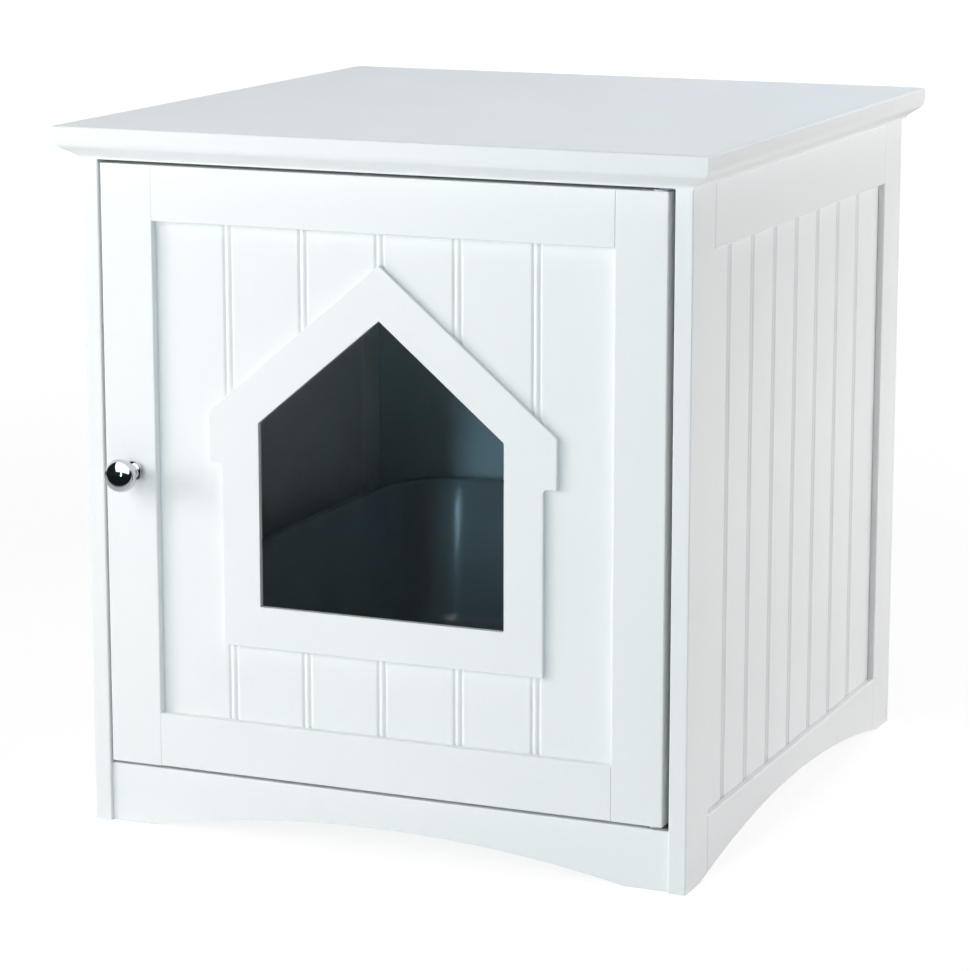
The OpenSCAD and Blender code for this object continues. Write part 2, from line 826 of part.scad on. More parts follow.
module catch_housing() {
    shell_h = magnet_h / 2 + catch_wall;
    color(nylon) difference() {
        union() {
            upright([-side_in_x, catch_y0, catch_z - catch_h / 2],
                    [-side_in_x + catch_base_t, catch_y0 + catch_d, catch_z + catch_h / 2]);
            upright([-side_in_x, catch_y0, catch_z - shell_h],
                    [-side_in_x + catch_w, catch_y0 + catch_d, catch_z + shell_h]);
        }
        block([catch_mid_x - stack_half - hole_gap, catch_y0 - cut, catch_z - magnet_h / 2 - hole_gap],
              [catch_mid_x + stack_half + hole_gap, magnet_y1 + hole_gap,
               catch_z + magnet_h / 2 + hole_gap]);
        catch_screw_set(hole_gap);
    }
}

module catch_magnet() {
    color(ferrite)
        block([catch_mid_x - magnet_t / 2, catch_y0 + move_gap, catch_z - magnet_h / 2],
              [catch_mid_x + magnet_t / 2, magnet_y1, catch_z + magnet_h / 2]);
}

module catch_pole_plates() {
    color(steel) for (x = [catch_mid_x - stack_half, catch_mid_x + magnet_t / 2])
        block([x, catch_y0, catch_z - magnet_h / 2], [x + pole_t, magnet_y1, catch_z + magnet_h / 2]);
}

module catch_screws() { color(steel) catch_screw_set(0); }

module strike_plate() {
    color(steel) difference() {
        translate([strike_mid_x - strike_w / 2, door_back_y + strike_t, catch_z - strike_h / 2])
            rotate(turn_front_deg) linear_extrude(strike_t) eased_rect(strike_w, strike_h, ease_r);
        strike_screw_set(hole_gap);
    }
}

module strike_screws() { color(steel) strike_screw_set(0); }

/* Door */

// The groove that takes the door's beadboard and the rails' tongues
module door_slot(x0, x1, z0, z1) {
    block([x0, door_board_y - board_gap, z0], [x1, door_board_y + board_t + board_gap, z1]);
}

module door_rail(z0, z1) {
    fit_d = groove_d - board_gap;
    along_x([door_open_x0, face_y, z0], [door_open_x1, door_back_y, z1]);
    block([door_open_x0 - fit_d, door_board_y, z0], [door_open_x1 + fit_d, door_board_y + board_t, z1]);
}

module door_hinge_stile() {
    color(paint) difference() {
        upright([door_open_x1, face_y, door_z0], [door_x1, door_back_y, door_z1]);
        door_slot(door_open_x1 - cut, door_open_x1 + groove_d, door_z0 - cut, door_z1 + cut);
        translate([pivot_x, pivot_y, door_z0]) bush_barrel(hole_gap);
        translate([pivot_x, pivot_y, door_z1]) rotate(turn_down_deg) bush_barrel(hole_gap);
    }
}

module door_latch_stile() {
    color(paint) difference() {
        upright([door_x0, face_y, door_z0], [door_open_x0, door_back_y, door_z1]);
        door_slot(door_open_x0 - groove_d, door_open_x0 + cut, door_z0 - cut, door_z1 + cut);
        knob_shank(hole_gap);
        strike_screw_set(hole_gap);
    }
}

module door_top_rail() {
    color(paint) difference() {
        door_rail(door_open_z1, door_z1);
        door_slot(door_open_x0 - groove_d - cut, door_open_x1 + groove_d + cut,
                  door_open_z1 - cut, door_open_z1 + groove_d);
    }
}

module door_bottom_rail() {
    color(paint) difference() {
        door_rail(door_z0, door_open_z0);
        door_slot(door_open_x0 - groove_d - cut, door_open_x1 + groove_d + cut,
                  door_open_z0 - groove_d, door_open_z0 + cut);
    }
}

// Outline of the way in, made larger all round by a margin
module way_outline(margin) {
    half = way_w / 2 + margin;
    ridge = way_ridge_z + margin / cos(roof_pitch);
    eave = ridge - half * tan(roof_pitch);
    polygon([
        [-half, way_z0 - margin], [half, way_z0 - margin], [half, eave], [0, ridge], [-half, eave]
    ]);
}

// Outline of the whole house, with a small hollow under each eave
module house_outline() {
    polygon([
        [-wall_x, house_z0], [wall_x, house_z0], [wall_x, eave_z0], [eave_x, eave_z0], [eave_x, eave_z1],
        [0, ridge_z], [-eave_x, eave_z1], [-eave_x, eave_z0], [-wall_x, eave_z0]
    ]);
    for (side = [-1, 1]) difference() {
        translate([side > 0 ? wall_x : -wall_x - eave_r, eave_z0 - eave_r]) square(eave_r);
        translate([side * (wall_x + eave_r), eave_z0 - eave_r]) circle(eave_r, $fn = small_fn);
    }
}

// Stands an outline in the door, from the front face y0 back to y1
module in_door(y0, y1) {
    translate([house_x, y1, 0]) rotate(turn_front_deg) linear_extrude(y1 - y0) children();
}

module door_beadboard() {
    fit_d = groove_d - board_gap;
    z0 = door_open_z0 - fit_d;
    z1 = door_open_z1 + fit_d;
    color(paint) difference() {
        translate([0, door_board_y, z0]) rotate(turn_flat_round_deg)
            linear_extrude(z1 - z0)
                bead_section(-door_open_x1 - fit_d, -door_open_x0 + fit_d, -door_bead_places);
        in_door(door_board_y - cut, door_board_y + board_t + cut) way_outline(trim_lap);
    }
}

module house_trim() {
    color(paint) in_door(door_board_y - trim_t, door_board_y) difference() {
        house_outline();
        way_outline(0);
    }
}

/* Knob */

module knob_shank(gap) {
    rod([knob_x, door_back_y + cut, knob_z], turn_front_deg, knob_screw_r + gap, door_t + 2 * cut);
}

module knob_section() {
    neck_r = knob_neck_d / 2;
    foot_r = knob_foot_d / 2;
    flare = foot_r - neck_r;
    ball_z = knob_reach - knob_d / 2;
    square([foot_r, knob_foot_t]);
    difference() {
        square([foot_r, knob_foot_t + flare]);
        translate([foot_r, knob_foot_t + flare]) circle(flare, $fn = small_fn);
    }
    square([neck_r, ball_z]);
    intersection() {
        translate([0, ball_z]) circle(knob_d / 2);
        translate([0, ball_z - knob_d]) square(2 * knob_d);
    }
}

module knob() {
    color(chrome_plate) translate([knob_x, face_y, knob_z]) rotate(turn_front_deg) difference() {
        rotate_extrude() knob_section();
        translate([0, 0, -cut])
            cylinder(h = knob_thread_d + cut, r = knob_screw_r + hole_gap, $fn = small_fn);
    }
}

module knob_screw() {
    color(steel) translate([knob_x, door_back_y, knob_z]) rotate(turn_front_deg) {
        cylinder(h = door_t + knob_thread_d - cut, r = knob_screw_r, $fn = small_fn);
        translate([0, 0, -knob_head_h]) cylinder(h = knob_head_h, r = knob_head_r, $fn = small_fn);
    }
}

/* Litter tray */

corner_steps = 8;
side_steps = 10;
turn_steps = 4;
tray_mid_y = (door_back_y + back_y0) / 2;
rim_soft = tray_wall / 2;
// Least corner radius that a ring keeps
tray_least_r = 4;

// How far the rim has fallen at a place along the depth, smooth at both ends
function fall(y) =
    let (t = min(1, max(0, (-tray_dip_start - y) / tray_dip_len)))
    tray_dip * t * t * (3 - 2 * t);

// The share of the fall that a height takes: none at the bottom, all of it at the rim
function fall_share(z) =
    let (start = tray_floor_r + tray_wall)
    min(1, max(0, (z - start) / (tray_h - tray_lip_h - start)));

function corner(cx, cy, r, from) =
    [for (i = [0:corner_steps]) let (a = from + 90 * i / corner_steps) [cx + r * cos(a), cy + r * sin(a)]];

function side_points(x, y0, y1) =
    [for (i = [1:side_steps - 1]) [x, y0 + (y1 - y0) * i / side_steps]];

// One ring round the tray, drawn in from the rim's outline by inset
function ring(inset, z) =
    let (
        hx = tray_w / 2 - inset,
        hy = tray_d / 2 - inset,
        r = max(tray_least_r, tray_corner_r - inset),
        plan = concat(
            side_points(hx, r - hy, hy - r), corner(hx - r, hy - r, r, 0), corner(r - hx, hy - r, r, 90),
            side_points(-hx, hy - r, r - hy), corner(r - hx, r - hy, r, 180), corner(hx - r, r - hy, r, 270)
        )
    )
    [for (p = plan) [p[0], p[1], z - fall(p[1]) * fall_share(z)]];

// Insets and heights from the middle of the underside, up the outside, over the rim and down the inside
function tray_profile() =
    let (
        foot = tray_lip + tray_draft,
        inner = foot + tray_wall
    )
    concat(
        [for (i = [0:turn_steps]) let (a = 90 * i / turn_steps)
            [foot + tray_floor_r * (1 - sin(a)), tray_floor_r * (1 - cos(a))]],
        [
            [tray_lip, tray_h - tray_lip_h], [tray_lip, tray_h - tray_wall],
            [tray_wall, tray_h - tray_wall], [tray_wall, tray_h - tray_lip_h],
            [0, tray_h - tray_lip_h], [0, tray_h - rim_soft], [rim_soft, tray_h],
            [tray_lip + rim_soft, tray_h], [tray_lip + tray_wall, tray_h - rim_soft],
            [tray_lip + tray_wall + rim_soft, tray_h - tray_lip_h],
            [tray_lip + 2 * tray_wall, tray_h - tray_lip_h - rim_soft]
        ],
        [for (i = [turn_steps:-1:0]) let (a = 90 * i / turn_steps)
            [inner + tray_floor_r * (1 - sin(a)), tray_wall + tray_floor_r * (1 - cos(a))]]
    );

module litter_tray() {
    rings = [for (p = tray_profile()) ring(p[0], p[1])];
    count = len(rings[0]);
    last = len(rings) - 1;
    under_mid = len(rings) * count;
    floor_mid = under_mid + 1;
    points = concat([for (r = rings) each r], [[0, 0, 0], [0, 0, tray_wall]]);
    walls = [for (j = [0:last - 1], i = [0:count - 1])
        let (a = j * count + i, b = j * count + (i + 1) % count)
        each [[a, b + count, b], [a, a + count, b + count]]];
    under = [for (i = [0:count - 1]) [under_mid, i, (i + 1) % count]];
    inside = [for (i = [0:count - 1]) [floor_mid, last * count + (i + 1) % count, last * count + i]];
    color(tray_plastic) translate([0, tray_mid_y, apron_h + move_gap])
        polyhedron(points, concat(walls, under, inside));
}

top_board();
floor_board();
back_board();
front_apron();
left_front_stile();
left_rear_stile();
left_top_rail();
left_bottom_rail();
left_beadboard();
right_front_stile();
right_rear_stile();
right_top_rail();
right_bottom_rail();
right_beadboard();
left_corner_block();
right_corner_block();
block_screws();
top_cam_bolts();
top_cam_discs();
floor_cam_bolts();
floor_cam_discs();
top_dowels();
apron_dowels();
back_screws();
lower_hinge_plate();
upper_hinge_plate();
lower_hinge_pin();
upper_hinge_pin();
hinge_screws();
catch_housing();
catch_magnet();
catch_pole_plates();
catch_screws();
door_hinge_stile();
door_latch_stile();
door_top_rail();
door_bottom_rail();
door_beadboard();
house_trim();
knob();
knob_screw();
strike_plate();
strike_screws();
lower_hinge_bush();
upper_hinge_bush();
litter_tray();
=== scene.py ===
# %% [markdown]
# # A white cat house
# The real thing is a small cabinet of painted MDF that hides a litter tray. Its boards are
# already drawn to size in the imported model, so this file loads them as a fixed frame and then
# gives every board, screw and fitting the finish that the eye expects.

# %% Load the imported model
import math

import bmesh
import bpy
from mathutils import Matrix, Vector


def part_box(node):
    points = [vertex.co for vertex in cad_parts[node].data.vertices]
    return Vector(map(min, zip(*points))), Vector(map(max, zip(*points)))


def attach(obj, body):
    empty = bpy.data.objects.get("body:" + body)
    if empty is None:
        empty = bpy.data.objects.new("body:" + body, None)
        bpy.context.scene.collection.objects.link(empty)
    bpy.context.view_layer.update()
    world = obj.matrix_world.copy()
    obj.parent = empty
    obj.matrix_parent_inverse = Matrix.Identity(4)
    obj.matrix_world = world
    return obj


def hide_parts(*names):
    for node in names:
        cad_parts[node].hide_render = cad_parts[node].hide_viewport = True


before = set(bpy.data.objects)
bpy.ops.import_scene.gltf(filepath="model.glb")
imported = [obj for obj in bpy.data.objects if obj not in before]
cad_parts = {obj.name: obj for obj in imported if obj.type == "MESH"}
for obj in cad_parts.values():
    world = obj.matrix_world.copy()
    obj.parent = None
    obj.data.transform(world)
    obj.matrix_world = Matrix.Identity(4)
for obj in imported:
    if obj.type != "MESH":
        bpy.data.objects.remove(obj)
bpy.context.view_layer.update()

MM = 0.001

# %% [markdown]
# ## The camera
# A product picture is taken with a long lens from well away, which keeps upright edges nearly
# upright. The lens looks 23 degrees from the right and 11.9 degrees down. A direction is
# easier to get right than three angles, so the camera is turned with to_track_quat.

# %% Camera
look_turn, look_down = math.radians(22.942), math.radians(11.892)
backwards = Vector((math.sin(look_turn) * math.cos(look_down),
                    -math.cos(look_turn) * math.cos(look_down), math.sin(look_down)))
long_lens = bpy.data.cameras.new("long_lens")
long_lens.lens, long_lens.sensor_width = 130.53, 36.0  # millimetres, from the fitted view
camera = bpy.data.objects.new("camera", long_lens)
camera.location = (1.00276, -2.41081, 0.77386)
camera.rotation_euler = backwards.to_track_quat("Z", "Y").to_euler()
bpy.context.collection.objects.link(camera)
bpy.context.scene.camera = camera
print("camera stands", round(camera.location.length, 3), "m from the middle of the foot")

# %% [markdown]
# ## Colours and nodes
# Paint charts and screens name a colour by its sRGB hex value, while a renderer adds up linear
# light, so one function turns the one into the other. A second function adds any node, sets its
# settings and joins its inputs. Both shaders and Geometry Nodes use it.

# %% Helpers for colours and nodes
def srgb(code):
    """Linear colour of an sRGB hex value."""
    parts = [int(code[i:i + 2], 16) / 255 for i in (1, 3, 5)]
    return [p / 12.92 if p <= 0.04045 else ((p + 0.055) / 1.055) ** 2.4 for p in parts] + [1.0]


def add(tree, kind, inputs=None, **settings):
    """Adds a node. An input is given a value, or another node's output to follow."""
    new = tree.nodes.new(kind)
    for name, value in settings.items():
        setattr(new, name, value)
    for key, value in (inputs or {}).items():
        if isinstance(value, bpy.types.NodeSocket):
            tree.links.new(value, new.inputs[key])
        else:
            new.inputs[key].default_value = value
    return new


def finish(name, colour, **shader_inputs):
    """A new material with a Principled shader. Returns it, its tree, its shader and a position."""
    made = bpy.data.materials.new(name)
    made.use_nodes = True
    made.diffuse_color = srgb(colour)
    tree = made.node_tree
    shader = tree.nodes["Principled BSDF"]
    shader.inputs["Base Color"].default_value = srgb(colour)
    for key, value in shader_inputs.items():
        shader.inputs[key.replace("_", " ")].default_value = value
    place = add(tree, "ShaderNodeTexCoord").outputs["Object"]
    return made, tree, shader, place


def grain_scale(size_mm):
    """Noise scale that gives features of about this size."""
    return 1 / (size_mm * MM)


def relief(tree, place, size_mm, detail, deep_mm, under=None):
    """Fine bumps of about this size and depth. Laid over another relief when one is given."""
    noise = add(tree, "ShaderNodeTexNoise",
                {"Vector": place, "Scale": grain_scale(size_mm), "Detail": detail})
    inputs = {"Height": noise.outputs["Fac"], "Strength": 1.0, "Distance": deep_mm * MM}
    if under:
        inputs["Normal"] = under
    return add(tree, "ShaderNodeBump", inputs).outputs["Normal"]


print("white paint, linear", [round(c, 3) for c in srgb("#F4F6F6")])

# %% [markdown]
# ## Satin white paint on MDF
# The cabinet is sprayed with a satin lacquer over sanded MDF. Up close such a coat has a faint
# orange peel about a millimetre and a half across, and its gloss changes a little from place to
# place. Two bumps of different size are chained, because one noise alone looks like plastic.

# %% Painted MDF
def lacquer(name, light, dark, gloss_low, gloss_high):
    made, tree, shader, place = finish(name, light)
    drift = add(tree, "ShaderNodeTexNoise", {"Vector": place, "Scale": grain_scale(140), "Detail": 2.0})
    tone = add(tree, "ShaderNodeMix", {0: drift.outputs["Fac"]}, data_type="RGBA")
    tone.inputs["A"].default_value, tone.inputs["B"].default_value = srgb(dark), srgb(light)
    gloss = add(tree, "ShaderNodeTexNoise", {"Vector": place, "Scale": grain_scale(35), "Detail": 3.0})
    rough = add(tree, "ShaderNodeMapRange",
                {"Value": gloss.outputs["Fac"], "To Min": gloss_low, "To Max": gloss_high})
    sanding = relief(tree, place, 18, 2.0, 0.03)
    peel = relief(tree, place, 1.5, 1.0, 0.012, under=sanding)
    tree.links.new(tone.outputs["Result"], shader.inputs["Base Color"])
    tree.links.new(rough.outputs["Result"], shader.inputs["Roughness"])
    tree.links.new(peel, shader.inputs["Normal"])
    return made


satin_lacquer = lacquer("satin_lacquer_on_mdf", "#F5F7F7", "#F1F4F4", 0.34, 0.46)
print("made", satin_lacquer.name)

# %% [markdown]
# ## The inside of the cabinet
# The inside is seen only as dark teal through the way in. So the back, the floor and the
# corner blocks are drawn with a thin, flat coat, tinted blue grey until that tone agreed. The tint is
# painted shade, the cool cast of the shaded inside. The primer is a guess: with the door open it reads as
# light blue, and a real one may be whiter.

# %% Inside coat, tinted with painted shade
# The blue grey of this coat is painted shade: the cool cast of the shaded inside, not a colour of the paint.
shade_tinted_inside = lacquer("thin_coat_over_grey_primer", "#D2EBF2", "#CAE4EC", 0.5, 0.62)
print("made", shade_tinted_inside.name)

# %% [markdown]
# ## Metals
# The knob is brass plated with nickel and chromium: bright, nearly without texture, and darker
# than silver. Hinge plates, screws and cams are zinc plated steel, which is duller and mottled.

# %% Chrome and zinc
chrome, tree, shader, place = finish("chrome_plated_brass", "#C9CDD1", Metallic=1.0)
polish = add(tree, "ShaderNodeTexNoise", {"Vector": place, "Scale": grain_scale(3), "Detail": 2.0})
haze = add(tree, "ShaderNodeMapRange", {"Value": polish.outputs["Fac"], "To Min": 0.03, "To Max": 0.07})
tree.links.new(haze.outputs["Result"], shader.inputs["Roughness"])

zinc, tree, shader, place = finish("zinc_plated_steel", "#B9BDC1", Metallic=1.0)
spangle = add(tree, "ShaderNodeTexVoronoi", {"Vector": place, "Scale": grain_scale(2.5)})
dull = add(tree, "ShaderNodeMapRange",
           {"Value": spangle.outputs["Distance"], "From Max": 0.7, "To Min": 0.26, "To Max": 0.42})
tree.links.new(dull.outputs["Result"], shader.inputs["Roughness"])
tree.links.new(relief(tree, place, 0.5, 2.0, 0.01), shader.inputs["Normal"])
print("made", chrome.name, zinc.name)

# %% [markdown]
# ## Nylon, ferrite and beech
# The hinge bushes and the body of the catch are moulded nylon, a little see-through. The magnet
# is sintered ferrite, dark and dry. The dowels are turned from beech, with fine flecks along
# the grain.

# %% Small fittings
nylon, tree, shader, place = finish("moulded_nylon", "#ECECE6", Roughness=0.38, Subsurface_Weight=0.15,
                                    Subsurface_Scale=0.002)
tree.links.new(relief(tree, place, 0.6, 2.0, 0.01), shader.inputs["Normal"])

ferrite, tree, shader, place = finish("sintered_ferrite", "#3A3A3D", Roughness=0.7)
tree.links.new(relief(tree, place, 0.3, 4.0, 0.03), shader.inputs["Normal"])

beech, tree, shader, place = finish("turned_beech", "#D9B98A", Roughness=0.6)
stretched = add(tree, "ShaderNodeMapping", {"Vector": place, "Scale": (0.15, 1.0, 0.15)})
fleck = add(tree, "ShaderNodeTexNoise",
            {"Vector": stretched.outputs["Vector"], "Scale": grain_scale(0.8), "Detail": 3.0})
wood = add(tree, "ShaderNodeMix", {0: fleck.outputs["Fac"]}, data_type="RGBA")
wood.inputs["A"].default_value, wood.inputs["B"].default_value = srgb("#C9A473"), srgb("#E2C79C")
tree.links.new(wood.outputs["Result"], shader.inputs["Base Color"])
print("made", nylon.name, ferrite.name, beech.name)

# %% [markdown]
# ## The tray's plastic
# Litter trays are injection moulded from polypropylene. The skin is glossy on the inside, so that
# it wipes clean, with a very fine flow pattern. The tray looks dark in the photo's shadow. Little
# light gets in here, so the plastic is a paler blue grey than the real one probably is.

# %% Polypropylene
tray_plastic, tree, shader, place = finish("moulded_polypropylene", "#95A2A8")
flow = add(tree, "ShaderNodeTexNoise", {"Vector": place, "Scale": grain_scale(60), "Detail": 2.0})
tint = add(tree, "ShaderNodeMix", {0: flow.outputs["Fac"]}, data_type="RGBA")
tint.inputs["A"].default_value, tint.inputs["B"].default_value = srgb("#8E9BA1"), srgb("#9CA9AF")
wipe = add(tree, "ShaderNodeMapRange", {"Value": flow.outputs["Fac"], "To Min": 0.16, "To Max": 0.26})
tree.links.new(tint.outputs["Result"], shader.inputs["Base Color"])
tree.links.new(wipe.outputs["Result"], shader.inputs["Roughness"])
tree.links.new(relief(tree, place, 0.7, 1.0, 0.006), shader.inputs["Normal"])
print("made", tray_plastic.name)

# %% [markdown]
# ## Boards with soft paint edges
# A sprayed board has no razor edges: the paint rounds them by a few tenths of a millimetre. Each
# packed board is a bag of loose triangles, so a copy is merged and its flat faces are joined
# first. Then a Bevel rounds what is still sharp, and Weighted Normal keeps the flats flat.

# %% Helpers for copies
STILL, DOOR, TRAY = "cabinet", "door", "tray"
SHARP = math.radians(38)


def place_piece(name, mesh, material, body, slot, *nodes):
    """Puts a finished mesh in the scene: what it is made of, what it rides on, what it stands for."""
    piece = bpy.data.objects.new(name, mesh)
    bpy.context.collection.objects.link(piece)
    if material:
        mesh.materials.clear()
        mesh.materials.append(material)
    if nodes:
        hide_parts(*nodes)
    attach(piece, body)
    return piece


def joined_shape(node):
    """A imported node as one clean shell: doubles merged, flat triangles joined."""
    shape = bmesh.new()
    shape.from_mesh(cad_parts[node].data)
    bmesh.ops.remove_doubles(shape, verts=shape.verts, dist=0.001 * MM)
    bmesh.ops.dissolve_limit(shape, angle_limit=math.radians(0.4), verts=shape.verts, edges=shape.edges)
    return shape


def smooth(piece, bevel=0.0, segments=2):
    """Rounds the sharp edges with a live Bevel when a width is given, else keeps them sharp, and keeps flat
    faces flat.
    """
    mesh = piece.data
    mesh.polygons.foreach_set("use_smooth", [True] * len(mesh.polygons))
    if bevel:
        soft = piece.modifiers.new("paint_edge", "BEVEL")
        soft.width, soft.segments, soft.limit_method = bevel, segments, "ANGLE"
        soft.angle_limit, soft.use_clamp_overlap = SHARP, True
        soft.miter_outer = "MITER_ARC"
    else:
        mesh.set_sharp_from_angle(angle=SHARP)
    flat = piece.modifiers.new("flat_faces", "WEIGHTED_NORMAL")
    flat.keep_sharp = True
    return piece


def board(node, material, body, slot, bevel=0.4 * MM):
    shape = joined_shape(node)
    mesh = bpy.data.meshes.new("painted_" + node)
    shape.to_mesh(mesh)
    shape.free()
    return smooth(place_piece("painted_" + node, mesh, material, body, slot, node), bevel)


print("edges sharper than", round(math.degrees(SHARP)), "degrees are rounded")

# %% [markdown]
# ## Stiles, rails and the floor
# Frame pieces are butt jointed, and each long edge is eased before painting, which leaves the fine
# line at every joint. The line is in the boards themselves, so no seam has to be painted on.

# %% Cabinet boards
for side in ("left", "right"):
    for part in ("front_stile", "rear_stile", "top_rail", "bottom_rail"):
        board(side + "_" + part, satin_lacquer, STILL, "painted_frame")
    board(side + "_corner_block", shade_tinted_inside, STILL, "painted_inside")
board("top_board", satin_lacquer, STILL, "painted_top")
board("front_apron", satin_lacquer, STILL, "painted_frame")
# The floor, back and corner blocks take the inside coat, whose blue grey tint is painted shade.
board("floor_board", shade_tinted_inside, STILL, "painted_inside")
board("back_board", shade_tinted_inside, STILL, "painted_inside")

# %% Door boards
for part in ("hinge_stile", "latch_stile", "top_rail", "bottom_rail"):
    board("door_" + part, satin_lacquer, DOOR, "painted_frame")
board("house_trim", satin_lacquer, DOOR, "painted_panel", bevel=0.3 * MM)

# %% [markdown]
# ## Geometry Nodes for what repeats
# Beads, screws and cams come many times over, so each is drawn once by a small tree with named
# sizes. The result is turned into a plain mesh, because an export can't keep a live tree.

# %% Helpers for trees
SOCKETS = {float: "NodeSocketFloat", int: "NodeSocketInt", bpy.types.Material: "NodeSocketMaterial"}


def new_tree(name, sizes):
    """An empty tree with one named input for each size, a material input and an output."""
    tree = bpy.data.node_groups.new(name, "GeometryNodeTree")
    tree.interface.new_socket("Geometry", in_out="INPUT", socket_type="NodeSocketGeometry")
    for size, start in sizes.items():
        socket = tree.interface.new_socket(size, in_out="INPUT", socket_type=SOCKETS[type(start)])
        socket.default_value = start
    tree.interface.new_socket("Material", in_out="INPUT", socket_type="NodeSocketMaterial")
    tree.interface.new_socket("Geometry", in_out="OUTPUT", socket_type="NodeSocketGeometry")
    return tree, tree.nodes.new("NodeGroupInput").outputs


def math_node(tree, operation, *values):
    return add(tree, "ShaderNodeMath", dict(enumerate(values)), operation=operation).outputs[0]


def end_tree(tree, geometry, material):
    """Every tree ends in real faces with their material on."""
    real = add(tree, "GeometryNodeRealizeInstances", {"Geometry": geometry})
    coated = add(tree, "GeometryNodeSetMaterial", {"Geometry": real.outputs[0], "Material": material})
    add(tree, "NodeGroupOutput", {"Geometry": coated.outputs[0]})


def cut_cross(tree, solid, size):
    """Cuts two bars of this size, one across the other, out of a solid."""
    bar = add(tree, "GeometryNodeMeshCube", {"Size": size})
    bar_turned = add(tree, "GeometryNodeTransform",
                     {"Geometry": bar.outputs[0], "Rotation": (0.0, 0.0, math.pi / 2)})
    crossed = add(tree, "GeometryNodeMeshBoolean", operation="DIFFERENCE", solver="EXACT")
    for thing, socket in ((solid, "Mesh 1"), (bar, "Mesh 2"), (bar_turned, "Mesh 2")):
        tree.links.new(thing.outputs[0], crossed.inputs[socket])
    return crossed


def stand_on_points(tree, given, thing):
    """Puts a thing on every point, its Z along the point's aim, turned about it by Spin."""
    aim = add(tree, "GeometryNodeInputNamedAttribute", {"Name": "aim"}, data_type="FLOAT_VECTOR")
    turned = add(tree, "FunctionNodeAlignRotationToVector", {"Vector": aim.outputs[0]}, axis="Z")
    spin = add(tree, "ShaderNodeCombineXYZ", {"Z": given["Spin"]})
    spin_turn = add(tree, "FunctionNodeEulerToRotation", {"Euler": spin.outputs[0]})
    spun = add(tree, "FunctionNodeRotateRotation",
               {"Rotation": turned.outputs[0], "Rotate By": spin_turn.outputs[0]}, rotation_space="LOCAL")
    on_points = add(tree, "GeometryNodeInstanceOnPoints",
                    {"Points": given["Geometry"], "Instance": thing.outputs[0], "Rotation": spun.outputs[0]})
    end_tree(tree, on_points.outputs[0], given["Material"])


def grown(tree, name, start_mesh, **values):
    """Runs a tree once on a mesh and returns what it made as a plain mesh."""
    carrier = bpy.data.objects.new(name + "_carrier", start_mesh)
    bpy.context.collection.objects.link(carrier)
    modifier = carrier.modifiers.new("tree", "NODES")
    modifier.node_group = tree
    for item in tree.interface.items_tree:
        key = item.name.replace(" ", "_").lower()
        if item.in_out == "INPUT" and key in values:
            modifier[item.identifier] = values[key]
    graph = bpy.context.evaluated_depsgraph_get()
    mesh = bpy.data.meshes.new_from_object(carrier.evaluated_get(graph), depsgraph=graph)
    carrier.modifiers.remove(modifier)
    bpy.data.objects.remove(carrier)
    mesh.name = name
    return mesh


print("socket kinds", list(SOCKETS.values()))

# %% [markdown]
# ## Beadboard
# Each panel is one board with narrow beads milled into it, and a fine V groove on both sides of
# every bead. The cutter's section is the whole rule, so the panel is drawn as a height that depends
# on the distance from the nearest bead: a shallow crown, then a V, then the flat face. A soft
# minimum and a soft maximum join the three, which is what the paint does to the corners. The tree
# places every point of that walk by its number, closes the line round the back and fills it.

# %% Beadboard tree
bead_sizes = {"Width": 0.4, "Height": 0.4, "Thickness": 0.004, "Beads": 7, "Pitch": 0.05, "Shift": 0.0,
              "Bead Width": 0.0022, "Crown": 0.0002, "Groove Width": 0.003, "Groove Depth": 0.00125,
              "Softness": 0.0009, "Half Steps": 20}
bead_tree, given = new_tree("beaded_panel", bead_sizes)


def m(operation, *values):
    return math_node(bead_tree, operation, *values)


def pick(test, when_false, when_true):
    """One of two numbers: test is 0 or 1."""
    return m("ADD", when_false, m("MULTIPLY", test, m("SUBTRACT", when_true, when_false)))


number = bead_tree.nodes.new("GeometryNodeInputIndex").outputs[0]
per_bead = m("ADD", m("MULTIPLY", given["Half Steps"], 2), 1)
walked = m("MULTIPLY", given["Beads"], per_bead)
bead = m("FLOOR", m("DIVIDE", m("ADD", number, 0.5), per_bead))
step = m("SUBTRACT", m("SUBTRACT", number, m("MULTIPLY", bead, per_bead)), given["Half Steps"])
half_bead = m("MULTIPLY", given["Bead Width"], 0.5)
vee_end = m("ADD", half_bead, given["Groove Width"])
vee_middle = m("ADD", half_bead, m("MULTIPLY", given["Groove Width"], 0.5))
across = m("MULTIPLY", m("DIVIDE", step, given["Half Steps"]), m("ADD", vee_end, given["Softness"]))
away = m("ABSOLUTE", across)
crown = m("MULTIPLY", m("POWER", m("DIVIDE", away, half_bead), 2), m("MULTIPLY", given["Crown"], -1))
steep_in = m("DIVIDE", m("SUBTRACT", given["Groove Depth"], given["Crown"]),
             m("SUBTRACT", vee_middle, half_bead))
steep_out = m("DIVIDE", given["Groove Depth"], m("SUBTRACT", vee_end, vee_middle))
wall_in = m("SUBTRACT", m("MULTIPLY", m("SUBTRACT", half_bead, away), steep_in), given["Crown"])
wall_out = m("MULTIPLY", m("SUBTRACT", away, vee_end), steep_out)
vee = m("SMOOTH_MAX", wall_in, wall_out, given["Softness"])
deep = m("SMOOTH_MIN", pick(m("GREATER_THAN", away, vee_middle), crown, 0), vee, given["Softness"])
middle = m("ADD", m("MULTIPLY", m("SUBTRACT", bead, m("DIVIDE", m("SUBTRACT", given["Beads"], 1), 2)),
                    given["Pitch"]), given["Shift"])
corner = m("SUBTRACT", number, walked)
is_corner = m("GREATER_THAN", corner, -0.5)
at_end = m("MULTIPLY", m("DIVIDE", given["Width"], 2), pick(m("GREATER_THAN", corner, 1.5), 1, -1))
